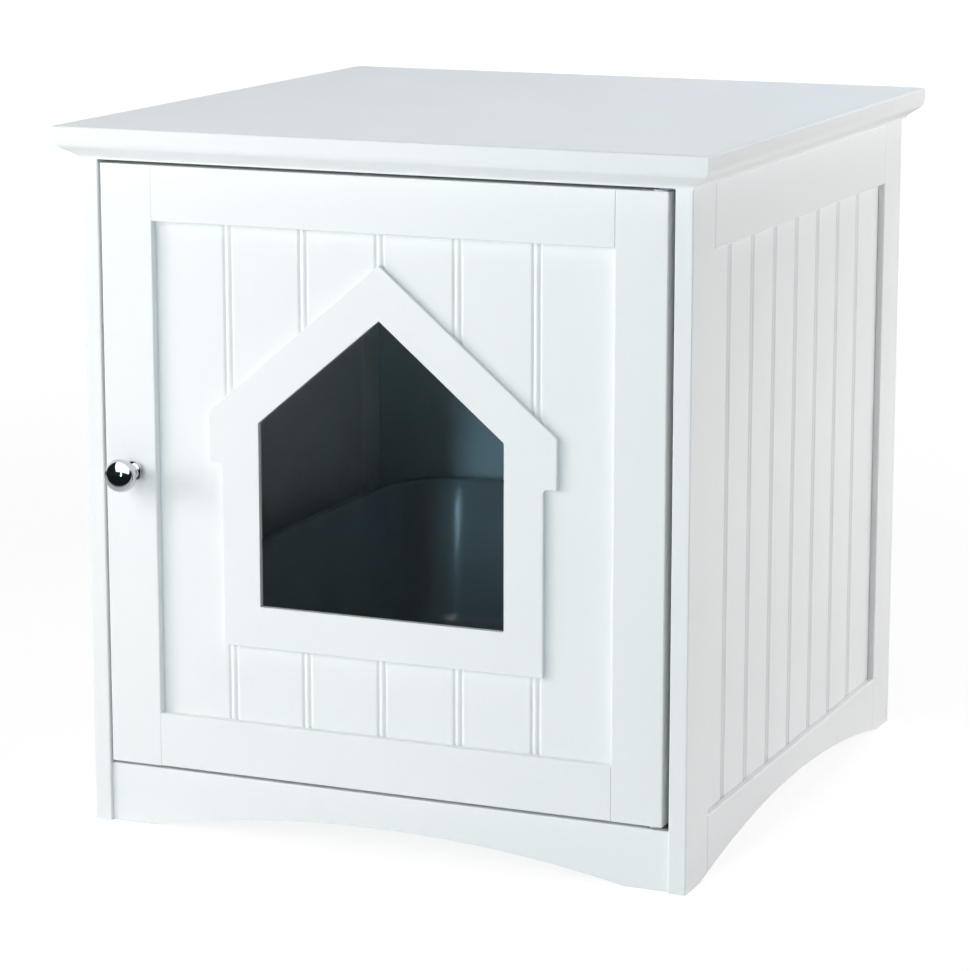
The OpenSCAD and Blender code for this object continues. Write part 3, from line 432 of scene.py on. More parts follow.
is_back = m("MULTIPLY", m("GREATER_THAN", corner, 0.5), m("LESS_THAN", corner, 2.5))
point = add(bead_tree, "ShaderNodeCombineXYZ", {
    "X": pick(is_corner, m("ADD", middle, across), at_end),
    "Y": pick(is_corner, deep, m("MULTIPLY", is_back, m("MULTIPLY", given["Thickness"], -1)))})
line = add(bead_tree, "GeometryNodeMeshLine", {"Count": m("ADD", walked, 4)})
walk = add(bead_tree, "GeometryNodeSetPosition",
           {"Geometry": line.outputs[0], "Position": point.outputs[0]})
outline = add(bead_tree, "GeometryNodeMeshToCurve", {"Mesh": walk.outputs[0]})
ring = add(bead_tree, "GeometryNodeSetSplineCyclic", {"Geometry": outline.outputs[0], "Cyclic": True})
section = add(bead_tree, "GeometryNodeFillCurve", {"Curve": ring.outputs[0]}, mode="NGONS")
upwards = add(bead_tree, "ShaderNodeCombineXYZ", {"Z": given["Height"]})
pulled = add(bead_tree, "GeometryNodeExtrudeMesh",
             {"Mesh": section.outputs[0], "Offset": upwards.outputs[0], "Offset Scale": 1.0,
              "Individual": False})
bottom = add(bead_tree, "GeometryNodeFlipFaces", {"Mesh": section.outputs[0]})
both = bead_tree.nodes.new("GeometryNodeJoinGeometry")
bead_tree.links.new(pulled.outputs[0], both.inputs[0])
bead_tree.links.new(bottom.outputs[0], both.inputs[0])
welded = add(bead_tree, "GeometryNodeMergeByDistance", {"Geometry": both.outputs[0], "Distance": 1e-6})
end_tree(bead_tree, welded.outputs[0], given["Material"])
print("beadboard tree has", len(bead_tree.nodes), "nodes")

# %% Beaded panels
BEAD = {"bead_width": 2.2 * MM, "crown": 0.2 * MM, "groove_width": 3.0 * MM, "groove_depth": 1.25 * MM,
        "softness": 0.9 * MM, "half_steps": 20, "thickness": 4 * MM}


def beaded_panel(node, facing_deg, beads, pitch, beads_middle):
    """A panel in the place of a packed one: facing_deg turns its face from +Y about the vertical."""
    low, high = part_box(node)
    facing = Matrix.Rotation(math.radians(facing_deg), 4, "Z")
    width = abs((facing.inverted().to_3x3() @ (high - low)).x)
    shift = (facing.inverted().to_3x3() @ (Vector(beads_middle) - (low + high) / 2)).x
    mesh = grown(bead_tree, "beaded_" + node, bpy.data.meshes.new("blank"), width=width, shift=shift,
                 height=high.z - low.z, beads=beads, pitch=pitch, material=satin_lacquer, **BEAD)
    inwards = facing.to_3x3() @ Vector((0, -1, 0))
    face = Vector((low.x if inwards.x > 0.5 else high.x if inwards.x < -0.5 else (low.x + high.x) / 2,
                   low.y if inwards.y > 0.5 else high.y if inwards.y < -0.5 else (low.y + high.y) / 2,
                   low.z))
    mesh.transform(Matrix.Translation(face) @ facing)
    return mesh


def prism(name, ring_points, push):
    """A closed block: a ring of points and the same ring again, pushed away."""
    shape = bmesh.new()
    near = [shape.verts.new(p) for p in ring_points]
    far = [shape.verts.new(Vector(p) + Vector(push)) for p in ring_points]
    shape.faces.new(near)
    shape.faces.new(far)
    for i in range(len(near)):
        j = (i + 1) % len(near)
        shape.faces.new((near[i], near[j], far[j], far[i]))
    bmesh.ops.recalc_face_normals(shape, faces=shape.faces)
    mesh = bpy.data.meshes.new(name)
    shape.to_mesh(mesh)
    shape.free()
    return mesh


def combined(mesh, tool_mesh, operation):
    """Joins or cuts two closed meshes and returns a plain mesh with the first one's name."""
    name = mesh.name
    work, tool = [bpy.data.objects.new(name + "_" + role, part)
                  for role, part in (("work", mesh), ("tool", tool_mesh))]
    for thing in (work, tool):
        bpy.context.collection.objects.link(thing)
    step_modifier = work.modifiers.new("step", "BOOLEAN")
    step_modifier.operation, step_modifier.object, step_modifier.solver = operation, tool, "EXACT"
    graph = bpy.context.evaluated_depsgraph_get()
    made = bpy.data.meshes.new_from_object(work.evaluated_get(graph), depsgraph=graph)
    for thing in (work, tool):
        bpy.data.objects.remove(thing)
    mesh.name = name + "_raw"
    made.name = name
    return made


print("bead and its two grooves take", round((BEAD["bead_width"] + 2 * BEAD["groove_width"]) / MM, 1), "mm")

# %% [markdown]
# ## Side panels
# The side panels are milled from thicker board: only their edges are thinned to fit the grooves of
# the frame, and the middle stays thick, so that the cabinet is smooth inside. The thick middle is
# a plain block that a Boolean joins to the back of the beadboard.

# %% Side panels
SIDE_BEADS, SIDE_PITCH, SIDE_BEADS_Y = 7, 49.5 * MM, 5 * MM
FIELD_GAP, OVERLAP = 0.5 * MM, 1 * MM
for side, facing_deg, outwards in (("left", 90, -1), ("right", -90, 1)):
    node = side + "_beadboard"
    panel = beaded_panel(node, facing_deg, SIDE_BEADS, SIDE_PITCH, (0, SIDE_BEADS_Y, 0))
    y0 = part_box(side + "_front_stile")[1].y + FIELD_GAP
    y1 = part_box(side + "_rear_stile")[0].y - FIELD_GAP
    z0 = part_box(side + "_bottom_rail")[1].z + FIELD_GAP
    z1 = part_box(side + "_top_rail")[0].z - FIELD_GAP
    frame_low, frame_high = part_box(side + "_front_stile")
    inner_x = frame_low.x if outwards > 0 else frame_high.x
    face_x = max(v.co.x * outwards for v in panel.vertices) * outwards
    back_x = face_x - outwards * BEAD["thickness"]
    opening = [(inner_x, y, z) for y, z in ((y0, z0), (y1, z0), (y1, z1), (y0, z1))]
    field = prism("thick_middle", opening, (back_x - inner_x + outwards * OVERLAP, 0, 0))
    panel = combined(panel, field, "UNION")
    smooth(place_piece(panel.name, panel, None, STILL, "painted_panel", node))
    print(side, "panel faces", len(panel.polygons))

# %% [markdown]
# ## The door's panel
# The door's panel is the same beadboard with the way in sawn out of it. The saw cut is a Boolean
# with a house shaped block, which leaves crisp walls like a router's. The trim's inner edge stands
# 4 mm further in all round, so that it hides the rough edge of the cut.

# %% Door panel
DOOR_BEADS, DOOR_PITCH, DOOR_BEADS_X = 5, 58.5 * MM, -1 * MM
cut_half, cut_foot, cut_eave, cut_ridge = 97.75 * MM, 168.5 * MM, 307.69 * MM, 389.71 * MM
trim_low, trim_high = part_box("house_trim")
door_middle = (trim_low.x + trim_high.x) / 2
cut_outline = [(-cut_half, cut_foot), (cut_half, cut_foot), (cut_half, cut_eave), (0.0, cut_ridge),
               (-cut_half, cut_eave)]
saw = prism("saw", [(door_middle + x, trim_low.y - 50 * MM, z) for x, z in cut_outline], (0, 100 * MM, 0))
whole = beaded_panel("door_beadboard", 180, DOOR_BEADS, DOOR_PITCH, (DOOR_BEADS_X, 0, 0))
door_panel = combined(whole, saw, "DIFFERENCE")
smooth(place_piece(door_panel.name, door_panel, None, DOOR, "painted_panel", "door_beadboard"))
print("door panel faces", len(door_panel.polygons))

# %% [markdown]
# ## Screws
# Every screw here is countersunk, with a cross recess and a coarse wood thread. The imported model
# has plain screws in the right places. Their mesh is split into its separate solids, and each one
# gives a head, a direction and a length. The tree draws one screw and puts it on every point.

# %% Screw tree
screw_sizes = {"Head Radius": 0.003, "Shank Radius": 0.0016, "Length": 0.01, "Thread Pitch": 0.0011,
               "Recess": 0.0032, "Spin": 0.4}
screw_tree, given = new_tree("countersunk_screw", screw_sizes)


def s(operation, *values):
    return math_node(screw_tree, operation, *values)


sink = s("SUBTRACT", given["Head Radius"], given["Shank Radius"])
core = s("MULTIPLY", given["Shank Radius"], 0.72)
head = add(screw_tree, "GeometryNodeMeshCone",
           {"Vertices": 32, "Radius Top": given["Shank Radius"], "Radius Bottom": given["Head Radius"],
            "Depth": sink})
shank = add(screw_tree, "GeometryNodeMeshCylinder",
            {"Vertices": 16, "Radius": core, "Depth": s("MULTIPLY", given["Length"], 0.9)})
shank_up = add(screw_tree, "ShaderNodeCombineXYZ", {"Z": s("MULTIPLY", given["Length"], 0.47)})
shank_set = add(screw_tree, "GeometryNodeTransform",
                {"Geometry": shank.outputs[0], "Translation": shank_up.outputs[0]})
thread_len = s("SUBTRACT", s("MULTIPLY", given["Length"], 0.9), sink)
helix = add(screw_tree, "GeometryNodeCurveSpiral",
            {"Resolution": 14, "Rotations": s("DIVIDE", thread_len, given["Thread Pitch"]),
             "Start Radius": core, "End Radius": core, "Height": thread_len, "Reverse": False})
ridge = add(screw_tree, "GeometryNodeCurvePrimitiveCircle",
            {"Resolution": 3, "Radius": s("MULTIPLY", given["Shank Radius"], 0.26)}, mode="RADIUS")
thread = add(screw_tree, "GeometryNodeCurveToMesh",
             {"Curve": helix.outputs[0], "Profile Curve": ridge.outputs[0], "Fill Caps": True})
thread_up = add(screw_tree, "ShaderNodeCombineXYZ", {"Z": sink})
thread_set = add(screw_tree, "GeometryNodeTransform",
                 {"Geometry": thread.outputs[0], "Translation": thread_up.outputs[0]})
blade_size = add(screw_tree, "ShaderNodeCombineXYZ",
                 {"X": given["Recess"], "Y": s("MULTIPLY", given["Recess"], 0.26), "Z": sink})
recess = cut_cross(screw_tree, head, blade_size.outputs[0])
screw = screw_tree.nodes.new("GeometryNodeJoinGeometry")
for part in (recess, shank_set, thread_set):
    screw_tree.links.new(part.outputs[0], screw.inputs[0])
stand_on_points(screw_tree, given, screw)
print("screw tree has", len(screw_tree.nodes), "nodes")

# %% Screws in their places
def solids_of(node):
    """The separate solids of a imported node, each as its list of points."""
    shape = bmesh.new()
    shape.from_mesh(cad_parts[node].data)
    bmesh.ops.remove_doubles(shape, verts=shape.verts, dist=0.001 * MM)
    left, found = set(shape.verts), []
    while left:
        wave, solid = [left.pop()], []
        while wave:
            vert = wave.pop()
            solid.append(vert.co.copy())
            for edge in vert.link_edges:
                other = edge.other_vert(vert)
                if other in left:
                    left.remove(other)
                    wave.append(other)
        found.append(solid)
    shape.free()
    return sorted(found, key=lambda solid: tuple(round(c, 5) for c in solid_middle(solid)))


def solid_middle(points):
    return [(min(p[i] for p in points) + max(p[i] for p in points)) / 2 for i in range(3)]


def along_axis(points):
    """Wide end, direction to the other end, length and the radii at both ends of a round solid."""
    low = Vector([min(p[i] for p in points) for i in range(3)])
    high = Vector([max(p[i] for p in points) for i in range(3)])
    size, middle = high - low, (low + high) / 2
    axis = max(range(3), key=lambda i: size[i])
    ends = []
    for end in (low[axis], high[axis]):
        near = [p for p in points if abs(p[axis] - end) < 0.02 * MM]
        ends.append(max(max(abs(p[i] - middle[i]) for i in range(3) if i != axis) for p in near))
    wide = 0 if ends[0] >= ends[1] else 1
    start = middle.copy()
    start[axis] = (low, high)[wide][axis]
    aim_vector = Vector((0, 0, 0))
    aim_vector[axis] = 1 - 2 * wide
    return start, aim_vector, size[axis], ends[wide], ends[1 - wide]


def aimed_points(name, places):
    """A mesh of loose points, each with the direction in which its screw goes in."""
    mesh = bpy.data.meshes.new(name)
    mesh.from_pydata([place[0] for place in places], [], [])
    aims = mesh.attributes.new("aim", "FLOAT_VECTOR", "POINT")
    aims.data.foreach_set("vector", [c for place in places for c in place[1]])
    return mesh


for node, body, spin_rad in (("block_screws", STILL, 0.3), ("back_screws", STILL, 0.9),
                             ("hinge_screws", STILL, 0.5), ("catch_screws", STILL, 0.2),
                             ("strike_screws", DOOR, 1.1)):
    places = [along_axis(solid) for solid in solids_of(node)]
    mesh = grown(screw_tree, "cross_" + node, aimed_points(node + "_points", places),
                 head_radius=places[0][3], shank_radius=places[0][4], length=places[0][2],
                 recess=places[0][3] * 1.1, spin=spin_rad, material=zinc)
    smooth(place_piece(mesh.name, mesh, None, body, "zinc_steel", node))
    print(node, len(places), "screws of", round(places[0][2] / MM, 1), "mm")

# %% [markdown]
# ## Cams
# A cam is a short zinc disc in a blind hole, which pulls in a bolt when it is turned. Its face has a
# cross for the screwdriver and is flush with the board.

# %% Cam tree
cam_sizes = {"Radius": 0.006, "Depth": 0.0095, "Slot": 0.007, "Slot Depth": 0.0016, "Rim": 0.0005,
             "Spin": 0.6}
cam_tree, given = new_tree("cam_disc", cam_sizes)


def c(operation, *values):
    return math_node(cam_tree, operation, *values)


body_depth = c("SUBTRACT", given["Depth"], given["Rim"])
drum = add(cam_tree, "GeometryNodeMeshCylinder",
           {"Vertices": 48, "Radius": given["Radius"], "Depth": body_depth})
drum_up = add(cam_tree, "ShaderNodeCombineXYZ",
              {"Z": c("ADD", given["Rim"], c("DIVIDE", body_depth, 2))})
drum_set = add(cam_tree, "GeometryNodeTransform",
               {"Geometry": drum.outputs[0], "Translation": drum_up.outputs[0]})
face = add(cam_tree, "GeometryNodeMeshCone",
           {"Vertices": 48, "Radius Bottom": c("SUBTRACT", given["Radius"], given["Rim"]),
            "Radius Top": given["Radius"], "Depth": given["Rim"]})
solid = add(cam_tree, "GeometryNodeMeshBoolean", operation="UNION", solver="EXACT")
cam_tree.links.new(drum_set.outputs[0], solid.inputs["Mesh 2"])
cam_tree.links.new(face.outputs[0], solid.inputs["Mesh 2"])
slot_size = add(cam_tree, "ShaderNodeCombineXYZ",
                {"X": given["Slot"], "Y": c("MULTIPLY", given["Slot"], 0.2),
                 "Z": c("MULTIPLY", given["Slot Depth"], 2)})
stand_on_points(cam_tree, given, cut_cross(cam_tree, solid, slot_size.outputs[0]))
print("cam tree has", len(cam_tree.nodes), "nodes")

# %% Cams in their places
CAM_RADIUS, CAM_DEPTH = 6 * MM, 9.5 * MM


def cam_places(node, aim_of):
    """Face centre and inward direction of every cam. aim_of gives the direction from the middle."""
    places = []
    for points in solids_of(node):
        middle = Vector(solid_middle(points))
        aim_vector = aim_of(middle)
        places.append((middle - aim_vector * CAM_DEPTH / 2, aim_vector))
    return places


for node, aim_of in (("top_cam_discs", lambda m: Vector((math.copysign(1, m.x), 0, 0))),
                     ("floor_cam_discs", lambda m: Vector((0, 0, 1)))):
    places = cam_places(node, aim_of)
    mesh = grown(cam_tree, "slotted_" + node, aimed_points(node + "_points", places),
                 radius=CAM_RADIUS, depth=CAM_DEPTH, material=zinc)
    smooth(place_piece(mesh.name, mesh, None, STILL, "zinc_steel", node))
    print(node, len(places), "cams at", [[round(v / MM) for v in place[0]] for place in places])

# %% [markdown]
# ## The knob
# A turned knob is a profile swept round its axis, and Spin does that. The profile runs from the
# foot over a short hollow and the neck onto the head, a ball that is a little flattened towards the
# hand. It is drawn with enough points that the mirror finish shows no facets.

# %% Knob
knob_low, knob_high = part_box("knob")
knob_middle = (knob_low + knob_high) / 2
door_face = knob_high.y
HEAD, HEAD_DEEP, NECK, FOOT, FOOT_T = 12 * MM, 9 * MM, 4 * MM, 7 * MM, 2 * MM
BREAK, ROUND = 0.3 * MM, 0.4 * MM
reach_out = door_face - knob_low.y
head_out = reach_out - HEAD_DEEP
flare = FOOT - NECK
profile = [(0.0, 0.0), (FOOT - BREAK, 0.0), (FOOT, BREAK), (FOOT, FOOT_T - ROUND)]
for i in range(7):
    a = math.radians(90 * i / 6)
    profile.append((FOOT - ROUND * (1 - math.cos(a)), FOOT_T - ROUND * (1 - math.sin(a))))
for i in range(1, 11):
    a = math.radians(90 * i / 10)
    profile.append((FOOT - ROUND - (flare - ROUND) * math.sin(a), FOOT_T + flare * (1 - math.cos(a))))
join_angle = math.asin(NECK / HEAD)
for i in range(41):
    a = join_angle + (math.pi - join_angle) * i / 40
    profile.append((HEAD * math.sin(a), head_out - HEAD_DEEP * math.cos(a)))
turned_knob = bmesh.new()
profile_verts = [turned_knob.verts.new((max(r, 0.0), -out, 0.0)) for r, out in profile]
profile_edges = [turned_knob.edges.new(pair) for pair in zip(profile_verts, profile_verts[1:])]
bmesh.ops.spin(turned_knob, geom=profile_verts + profile_edges, axis=(0, 1, 0), cent=(0, 0, 0),
               angle=math.tau, steps=72, use_merge=True)
bmesh.ops.remove_doubles(turned_knob, verts=turned_knob.verts, dist=0.001 * MM)
bmesh.ops.recalc_face_normals(turned_knob, faces=turned_knob.faces)
knob_mesh = bpy.data.meshes.new("turned_knob")
turned_knob.to_mesh(knob_mesh)
turned_knob.free()
knob_mesh.transform(Matrix.Translation((knob_middle.x, door_face, knob_middle.z)))
smooth(place_piece("turned_knob", knob_mesh, chrome, DOOR, "chrome_knob", "knob"))
print("knob reaches", round(reach_out / MM, 1), "mm, faces", len(knob_mesh.polygons))

# %% [markdown]
# ## The litter tray
# The tray's wall is one skin that goes up the outside, over the rolled rim and down the inside.
# Each height of that path is a rounded rectangle, so the tray is built from rings. Towards the
# front the rim dips, so that a cat can step over it.

# %% Tray
TRAY_W, TRAY_D, TRAY_H, TRAY_WALL = 358 * MM, 400 * MM, 136 * MM, 2.4 * MM
LIP, LIP_H, DRAFT, CORNER, FLOOR_R = 8 * MM, 9 * MM, 14 * MM, 66 * MM, 30 * MM
DIP, DIP_START, DIP_LEN = 34 * MM, 70 * MM, 95 * MM
LIP_BREAK_IN, LIP_BREAK_UP = 0.25 * MM, 0.4 * MM
CORNER_STEPS, SIDE_STEPS, TURN_STEPS, WALL_STEPS, RIM_STEPS = 18, 26, 8, 6, 6
tray_low, tray_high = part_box("litter_tray")


def rim_fall(y):
    t = min(1.0, max(0.0, (-DIP_START - y) / DIP_LEN))
    return DIP * t * t * (3 - 2 * t)


def fall_share(z):
    start = FLOOR_R + TRAY_WALL
    return min(1.0, max(0.0, (z - start) / (TRAY_H - LIP_H - start)))


def tray_ring(inset, z):
    """One rounded rectangle round the tray, drawn in from the rim by inset."""
    hx, hy, r = TRAY_W / 2 - inset, TRAY_D / 2 - inset, CORNER - inset
    plan = []
    for cx, cy, start in ((hx - r, hy - r, 0), (r - hx, hy - r, 90),
                          (r - hx, r - hy, 180), (hx - r, r - hy, 270)):
        for i in range(CORNER_STEPS + 1):
            a = math.radians(start + 90 * i / CORNER_STEPS)
            plan.append((cx + r * math.cos(a), cy + r * math.sin(a)))
    full = []
    for i, (x, y) in enumerate(plan):
        full.append((x, y))
        if (i + 1) % (CORNER_STEPS + 1) == 0:
            nx, ny = plan[(i + 1) % len(plan)]
            full += [(x + (nx - x) * k / SIDE_STEPS, y + (ny - y) * k / SIDE_STEPS)
                     for k in range(1, SIDE_STEPS)]
    return [(x, y, z - rim_fall(y) * fall_share(z)) for x, y in full]


def quarter(cx, cz, r, start, end, steps):
    """Points of an arc in the section, as (inset, height)."""
    return [(cx + r * math.cos(math.radians(start + (end - start) * i / steps)),
             cz + r * math.sin(math.radians(start + (end - start) * i / steps))) for i in range(steps + 1)]


def floor_turn(inset, up, numbers):
    """The big round between floor and wall, as (inset, height)."""
    turns = [math.radians(90 * i / TURN_STEPS) for i in numbers]
    return [(inset + FLOOR_R * (1 - math.sin(a)), up + FLOOR_R * (1 - math.cos(a))) for a in turns]


foot, inner = LIP + DRAFT, LIP + DRAFT + TRAY_WALL
rim_r, lip_z = TRAY_WALL, TRAY_H - LIP_H
section_path = floor_turn(foot, 0.0, range(TURN_STEPS + 1))
section_path += [(LIP + DRAFT * (1 - k / WALL_STEPS), FLOOR_R + (lip_z - FLOOR_R) * k / WALL_STEPS)
                 for k in range(1, WALL_STEPS + 1)]
section_path += [(LIP, TRAY_H - TRAY_WALL), (TRAY_WALL, TRAY_H - TRAY_WALL), (TRAY_WALL, lip_z)]
section_path += [(LIP_BREAK_IN, lip_z), (0.0, lip_z + LIP_BREAK_UP)]
section_path += quarter(rim_r, TRAY_H - rim_r, rim_r, 180, 90, RIM_STEPS)
section_path += quarter(LIP + TRAY_WALL - rim_r, TRAY_H - rim_r, rim_r, 90, 0, RIM_STEPS)
section_path += [(LIP + TRAY_WALL + DRAFT * k / WALL_STEPS,
                  lip_z - (lip_z - FLOOR_R - TRAY_WALL) * k / WALL_STEPS) for k in range(WALL_STEPS + 1)]
section_path += floor_turn(inner, TRAY_WALL, range(TURN_STEPS - 1, -1, -1))
tray_shape = bmesh.new()
tray_rings = [[tray_shape.verts.new(p) for p in tray_ring(inset, z)] for inset, z in section_path]
for low_ring, high_ring in zip(tray_rings, tray_rings[1:]):
    for i in range(len(low_ring)):
        j = (i + 1) % len(low_ring)
        tray_shape.faces.new((low_ring[i], low_ring[j], high_ring[j], high_ring[i]))
tray_shape.faces.new(tray_rings[0][::-1])
tray_shape.faces.new(tray_rings[-1])
bmesh.ops.recalc_face_normals(tray_shape, faces=tray_shape.faces)
tray_mesh = bpy.data.meshes.new("moulded_tray")
tray_shape.to_mesh(tray_mesh)
tray_shape.free()
tray_middle = (tray_low + tray_high) / 2
tray_mesh.transform(Matrix.Translation((tray_middle.x, tray_middle.y, tray_low.z)))
smooth(place_piece("moulded_tray", tray_mesh, tray_plastic, TRAY, "tray_plastic", "litter_tray"))
print("tray rings", len(tray_rings), "faces", len(tray_mesh.polygons))

# %% [markdown]
# ## Hinges and catch
# The two corner plates are blanked from sheet, so their edges are barely broken. The catch is a
# moulded nylon box round a magnet between two steel cheeks, which pull on the strike plate.

# %% Small metal and nylon parts
for node, material, body, slot_name, bevel in (
        ("lower_hinge_plate", zinc, STILL, "zinc_steel", 0.15 * MM),
        ("upper_hinge_plate", zinc, STILL, "zinc_steel", 0.15 * MM),
        ("lower_hinge_pin", zinc, STILL, "zinc_steel", 0.1 * MM),
        ("upper_hinge_pin", zinc, STILL, "zinc_steel", 0.1 * MM),
        ("catch_housing", nylon, STILL, "nylon", 0.3 * MM),
        ("catch_magnet", ferrite, STILL, "ferrite", 0.2 * MM),
        ("catch_pole_plates", zinc, STILL, "zinc_steel", 0.1 * MM),
        ("strike_plate", zinc, DOOR, "zinc_steel", 0.15 * MM),
        ("knob_screw", zinc, DOOR, "zinc_steel", 0.2 * MM),
        ("lower_hinge_bush", nylon, DOOR, "nylon", 0.1 * MM),
        ("upper_hinge_bush", nylon, DOOR, "nylon", 0.1 * MM)):
    board(node, material, body, slot_name, bevel)

for node, material in (("top_cam_bolts", zinc), ("floor_cam_bolts", zinc), ("top_dowels", beech),
                       ("apron_dowels", beech)):
    hidden_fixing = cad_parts[node]
    hidden_fixing.data.materials.clear()
    hidden_fixing.data.materials.append(material)
    print(node, "keeps its packed shape in", material.name)

# %% [markdown]
# ## Studio
# The picture has a plain white ground. The floor and the world show as white to the camera, and
# the floor still takes a soft shadow. The knob mirrors the room behind the camera, so mirror rays
# see a dark studio there, and a dark floor. A pale blue wall stands only far behind the cabinet: the
# top board and the side mirror it at a low angle, and it is dimmer to the left, where the top turns
# darker in the photo. The world could be an even grey, but then the knob would lose its contrast.

# %% Floor
floor_mesh = bpy.data.meshes.new("studio_floor")
floor_mesh.from_pydata([(-40, -40, 0), (40, -40, 0), (40, 40, 0), (-40, 40, 0)], [], [(0, 1, 2, 3)])
floor_mesh.transform(Matrix.Translation((0, 0, -0.2 * MM)))
studio_floor = bpy.data.objects.new("studio_floor", floor_mesh)
bpy.context.collection.objects.link(studio_floor)
ROOM_DARK = srgb("#1E2224")
WHITE = srgb("#FFFFFF")
white_sweep = bpy.data.materials.new("white_paper_sweep")
white_sweep.use_nodes = True
tree = white_sweep.node_tree
paper = tree.nodes["Principled BSDF"]
paper.inputs["Base Color"].default_value = srgb("#FAFAFA")
paper.inputs["Roughness"].default_value = 0.9
ground = add(tree, "ShaderNodeTexCoord").outputs["Object"]
from_middle = add(tree, "ShaderNodeVectorMath", {0: ground}, operation="LENGTH").outputs["Value"]
far = add(tree, "ShaderNodeMapRange",
          {"Value": from_middle, "From Min": 0.9, "From Max": 3.0, "To Min": 0.8, "To Max": 1.0})
rays = add(tree, "ShaderNodeLightPath")
seen = add(tree, "ShaderNodeMath", {0: rays.outputs["Is Camera Ray"], 1: far.outputs["Result"]},
           operation="MULTIPLY")
glow = add(tree, "ShaderNodeEmission", {"Color": WHITE, "Strength": 1.1})
to_camera = add(tree, "ShaderNodeMixShader",
                {0: seen.outputs[0], 1: paper.outputs["BSDF"], 2: glow.outputs["Emission"]})
depth = add(tree, "ShaderNodeSeparateXYZ", {0: ground}).outputs["Y"]
ahead = add(tree, "ShaderNodeMapRange",
            {"Value": depth, "From Min": -0.45, "From Max": -0.34, "To Min": 1.0, "To Max": 0.0})
mirrored = add(tree, "ShaderNodeMath", {0: rays.outputs["Is Glossy Ray"], 1: ahead.outputs["Result"]},
               operation="MULTIPLY")
dark_floor = add(tree, "ShaderNodeEmission", {"Color": ROOM_DARK, "Strength": 1.0})
sweep = add(tree, "ShaderNodeMixShader",
            {0: mirrored.outputs[0], 1: to_camera.outputs[0], 2: dark_floor.outputs["Emission"]})
tree.links.new(sweep.outputs[0], tree.nodes["Material Output"].inputs["Surface"])
floor_mesh.materials.append(white_sweep)
print("floor ready")

# %% World
studio = bpy.data.worlds.new("white_studio")
bpy.context.scene.world = studio
studio.use_nodes = True
tree = studio.node_tree
tree.nodes.clear()
heading = add(tree, "ShaderNodeSeparateXYZ", {0: add(tree, "ShaderNodeTexCoord").outputs["Generated"]})
behind = add(tree, "ShaderNodeMapRange", {"Value": heading.outputs["Y"], "From Min": 0.05, "From Max": 0.35})
room = add(tree, "ShaderNodeMix", {0: behind.outputs["Result"]}, data_type="RGBA")
room.inputs["A"].default_value, room.inputs["B"].default_value = ROOM_DARK, srgb("#EBF6FF")
rays = add(tree, "ShaderNodeLightPath")
ambient = add(tree, "ShaderNodeBackground", {"Color": WHITE, "Strength": 0.01})
wall_fade = add(tree, "ShaderNodeMapRange", {"Value": heading.outputs["X"], "From Min": -0.50,
                                             "From Max": -0.28, "To Min": 1.5, "To Max": 2.0})
mirrored = add(tree, "ShaderNodeBackground",
               {"Color": room.outputs["Result"], "Strength": wall_fade.outputs["Result"]})
white = add(tree, "ShaderNodeBackground", {"Color": WHITE, "Strength": 1.0})
mirror_mix = add(tree, "ShaderNodeMixShader",
                 {0: rays.outputs["Is Glossy Ray"], 1: ambient.outputs[0], 2: mirrored.outputs[0]})
clear_view = add(tree, "ShaderNodeMath", {0: rays.outputs["Is Camera Ray"],
                                          1: rays.outputs["Is Transmission Ray"]}, operation="MAXIMUM")
view_mix = add(tree, "ShaderNodeMixShader",
               {0: clear_view.outputs[0], 1: mirror_mix.outputs[0], 2: white.outputs[0]})
add(tree, "ShaderNodeOutputWorld", {"Surface": view_mix.outputs[0]})
print("world ready")

# %% [markdown]
# ## Lamps
# A studio lights a white object with softboxes, each as weak as it can be, so that the paint keeps
# its colour. The front has two, at the front and at the left, and a small key lamp high on the left
# that makes the upper left brightest. Two narrow strips, one over the other beside the camera, reach
# through the way in and draw the thin highlight in the tray's corner. The right side has a softbox, a
# weak fill for the near edge and a lamp from behind, so it grows brighter towards the rear. One more
# softbox hangs over the top. The strengths come from rendering each lamp alone and matching the sum
# to the photo, then from small corrections. The knob mirrors a large softbox over the front, so a
# card that only mirror rays see stands for it. All of this is fitted to the photo's view alone.

# %% Lamps
def lamp(name, stands, faces, wide, tall, watts, colour="#FFFFFF", mirrored_too=False):
    light = bpy.data.lights.new(name, "AREA")
    light.shape, light.size, light.size_y, light.energy = "RECTANGLE", wide, tall, watts
    light.color = srgb(colour)[:3]
    holder = bpy.data.objects.new(name, light)
    holder.location = stands
    holder.rotation_euler = (Vector(stands) - Vector(faces)).to_track_quat("Z", "Y").to_euler()
    holder.visible_glossy = mirrored_too
    bpy.context.collection.objects.link(holder)
    return holder


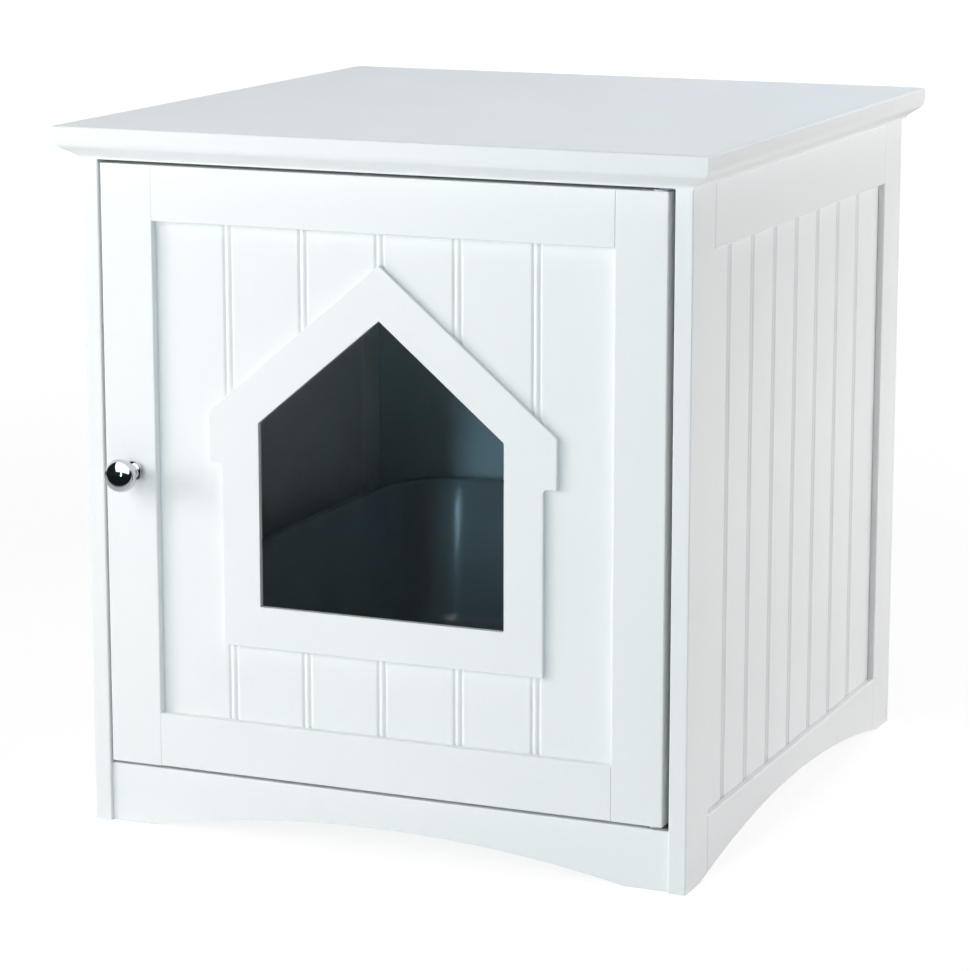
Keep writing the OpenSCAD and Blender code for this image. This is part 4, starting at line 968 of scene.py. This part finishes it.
lamp("front_softbox", (-0.4, -2.4, 0.7), (0.0, -0.2, 0.25), 1.6, 1.0, 6.5, "#FFEDD8")
lamp("left_softbox", (-2.0, -1.4, 0.7), (0.0, -0.2, 0.25), 1.0, 1.0, 21.5, "#FFFDFE")
lamp("key_lamp", (-0.7, -1.3, 0.9), (0.0, -0.23, 0.3), 0.8, 0.8, 6.8, "#FFF8F4")
lamp("strip_lamp", (0.10, -2.15, 0.85), (0.0, 0.0, 0.25), 0.12, 0.9, 1.2, "#B8EFFF", mirrored_too=True)
lamp("low_strip", (0.10, -2.15, 0.55), (0.0, 0.0, 0.25), 0.12, 0.5, 6.6, "#BEE9FF", mirrored_too=True)
lamp("side_softbox", (2.2, 0.6, 0.7), (0.245, 0.1, 0.25), 1.4, 1.2, 17, "#FDFCFF")
lamp("side_fill", (2.2, -1.2, 0.8), (0.2, 0.0, 0.25), 1.2, 1.2, 1.5)
lamp("rear_lamp", (1.3, 1.6, 0.85), (0.2, 0.2, 0.25), 1.0, 1.0, 15, "#FFFAF5")
lamp("top_softbox", (0.0, 0.1, 2.3), (0.0, 0.0, 0.5), 1.4, 1.4, 7)

card_corners = [(-0.86, -1.92, 0.92), (1.49, -1.09, 0.62), (0.85, 0.36, 1.74), (-1.16, 0.04, 1.89)]
card_mesh = bpy.data.meshes.new("softbox_card")
card_mesh.from_pydata(card_corners, [], [(0, 1, 2, 3)])
softbox_card = bpy.data.objects.new("softbox_card", card_mesh)
bpy.context.collection.objects.link(softbox_card)
card_glow = bpy.data.materials.new("softbox_cloth")
card_glow.use_nodes = True
tree = card_glow.node_tree
tree.nodes.clear()
light = add(tree, "ShaderNodeEmission", {"Color": WHITE, "Strength": 2.0})
add(tree, "ShaderNodeOutputMaterial", {"Surface": light.outputs[0]})
card_mesh.materials.append(card_glow)
for ray in ("camera", "diffuse", "transmission", "volume_scatter", "shadow"):
    setattr(softbox_card, "visible_" + ray, False)
bpy.context.scene.view_settings.view_transform = "Standard"
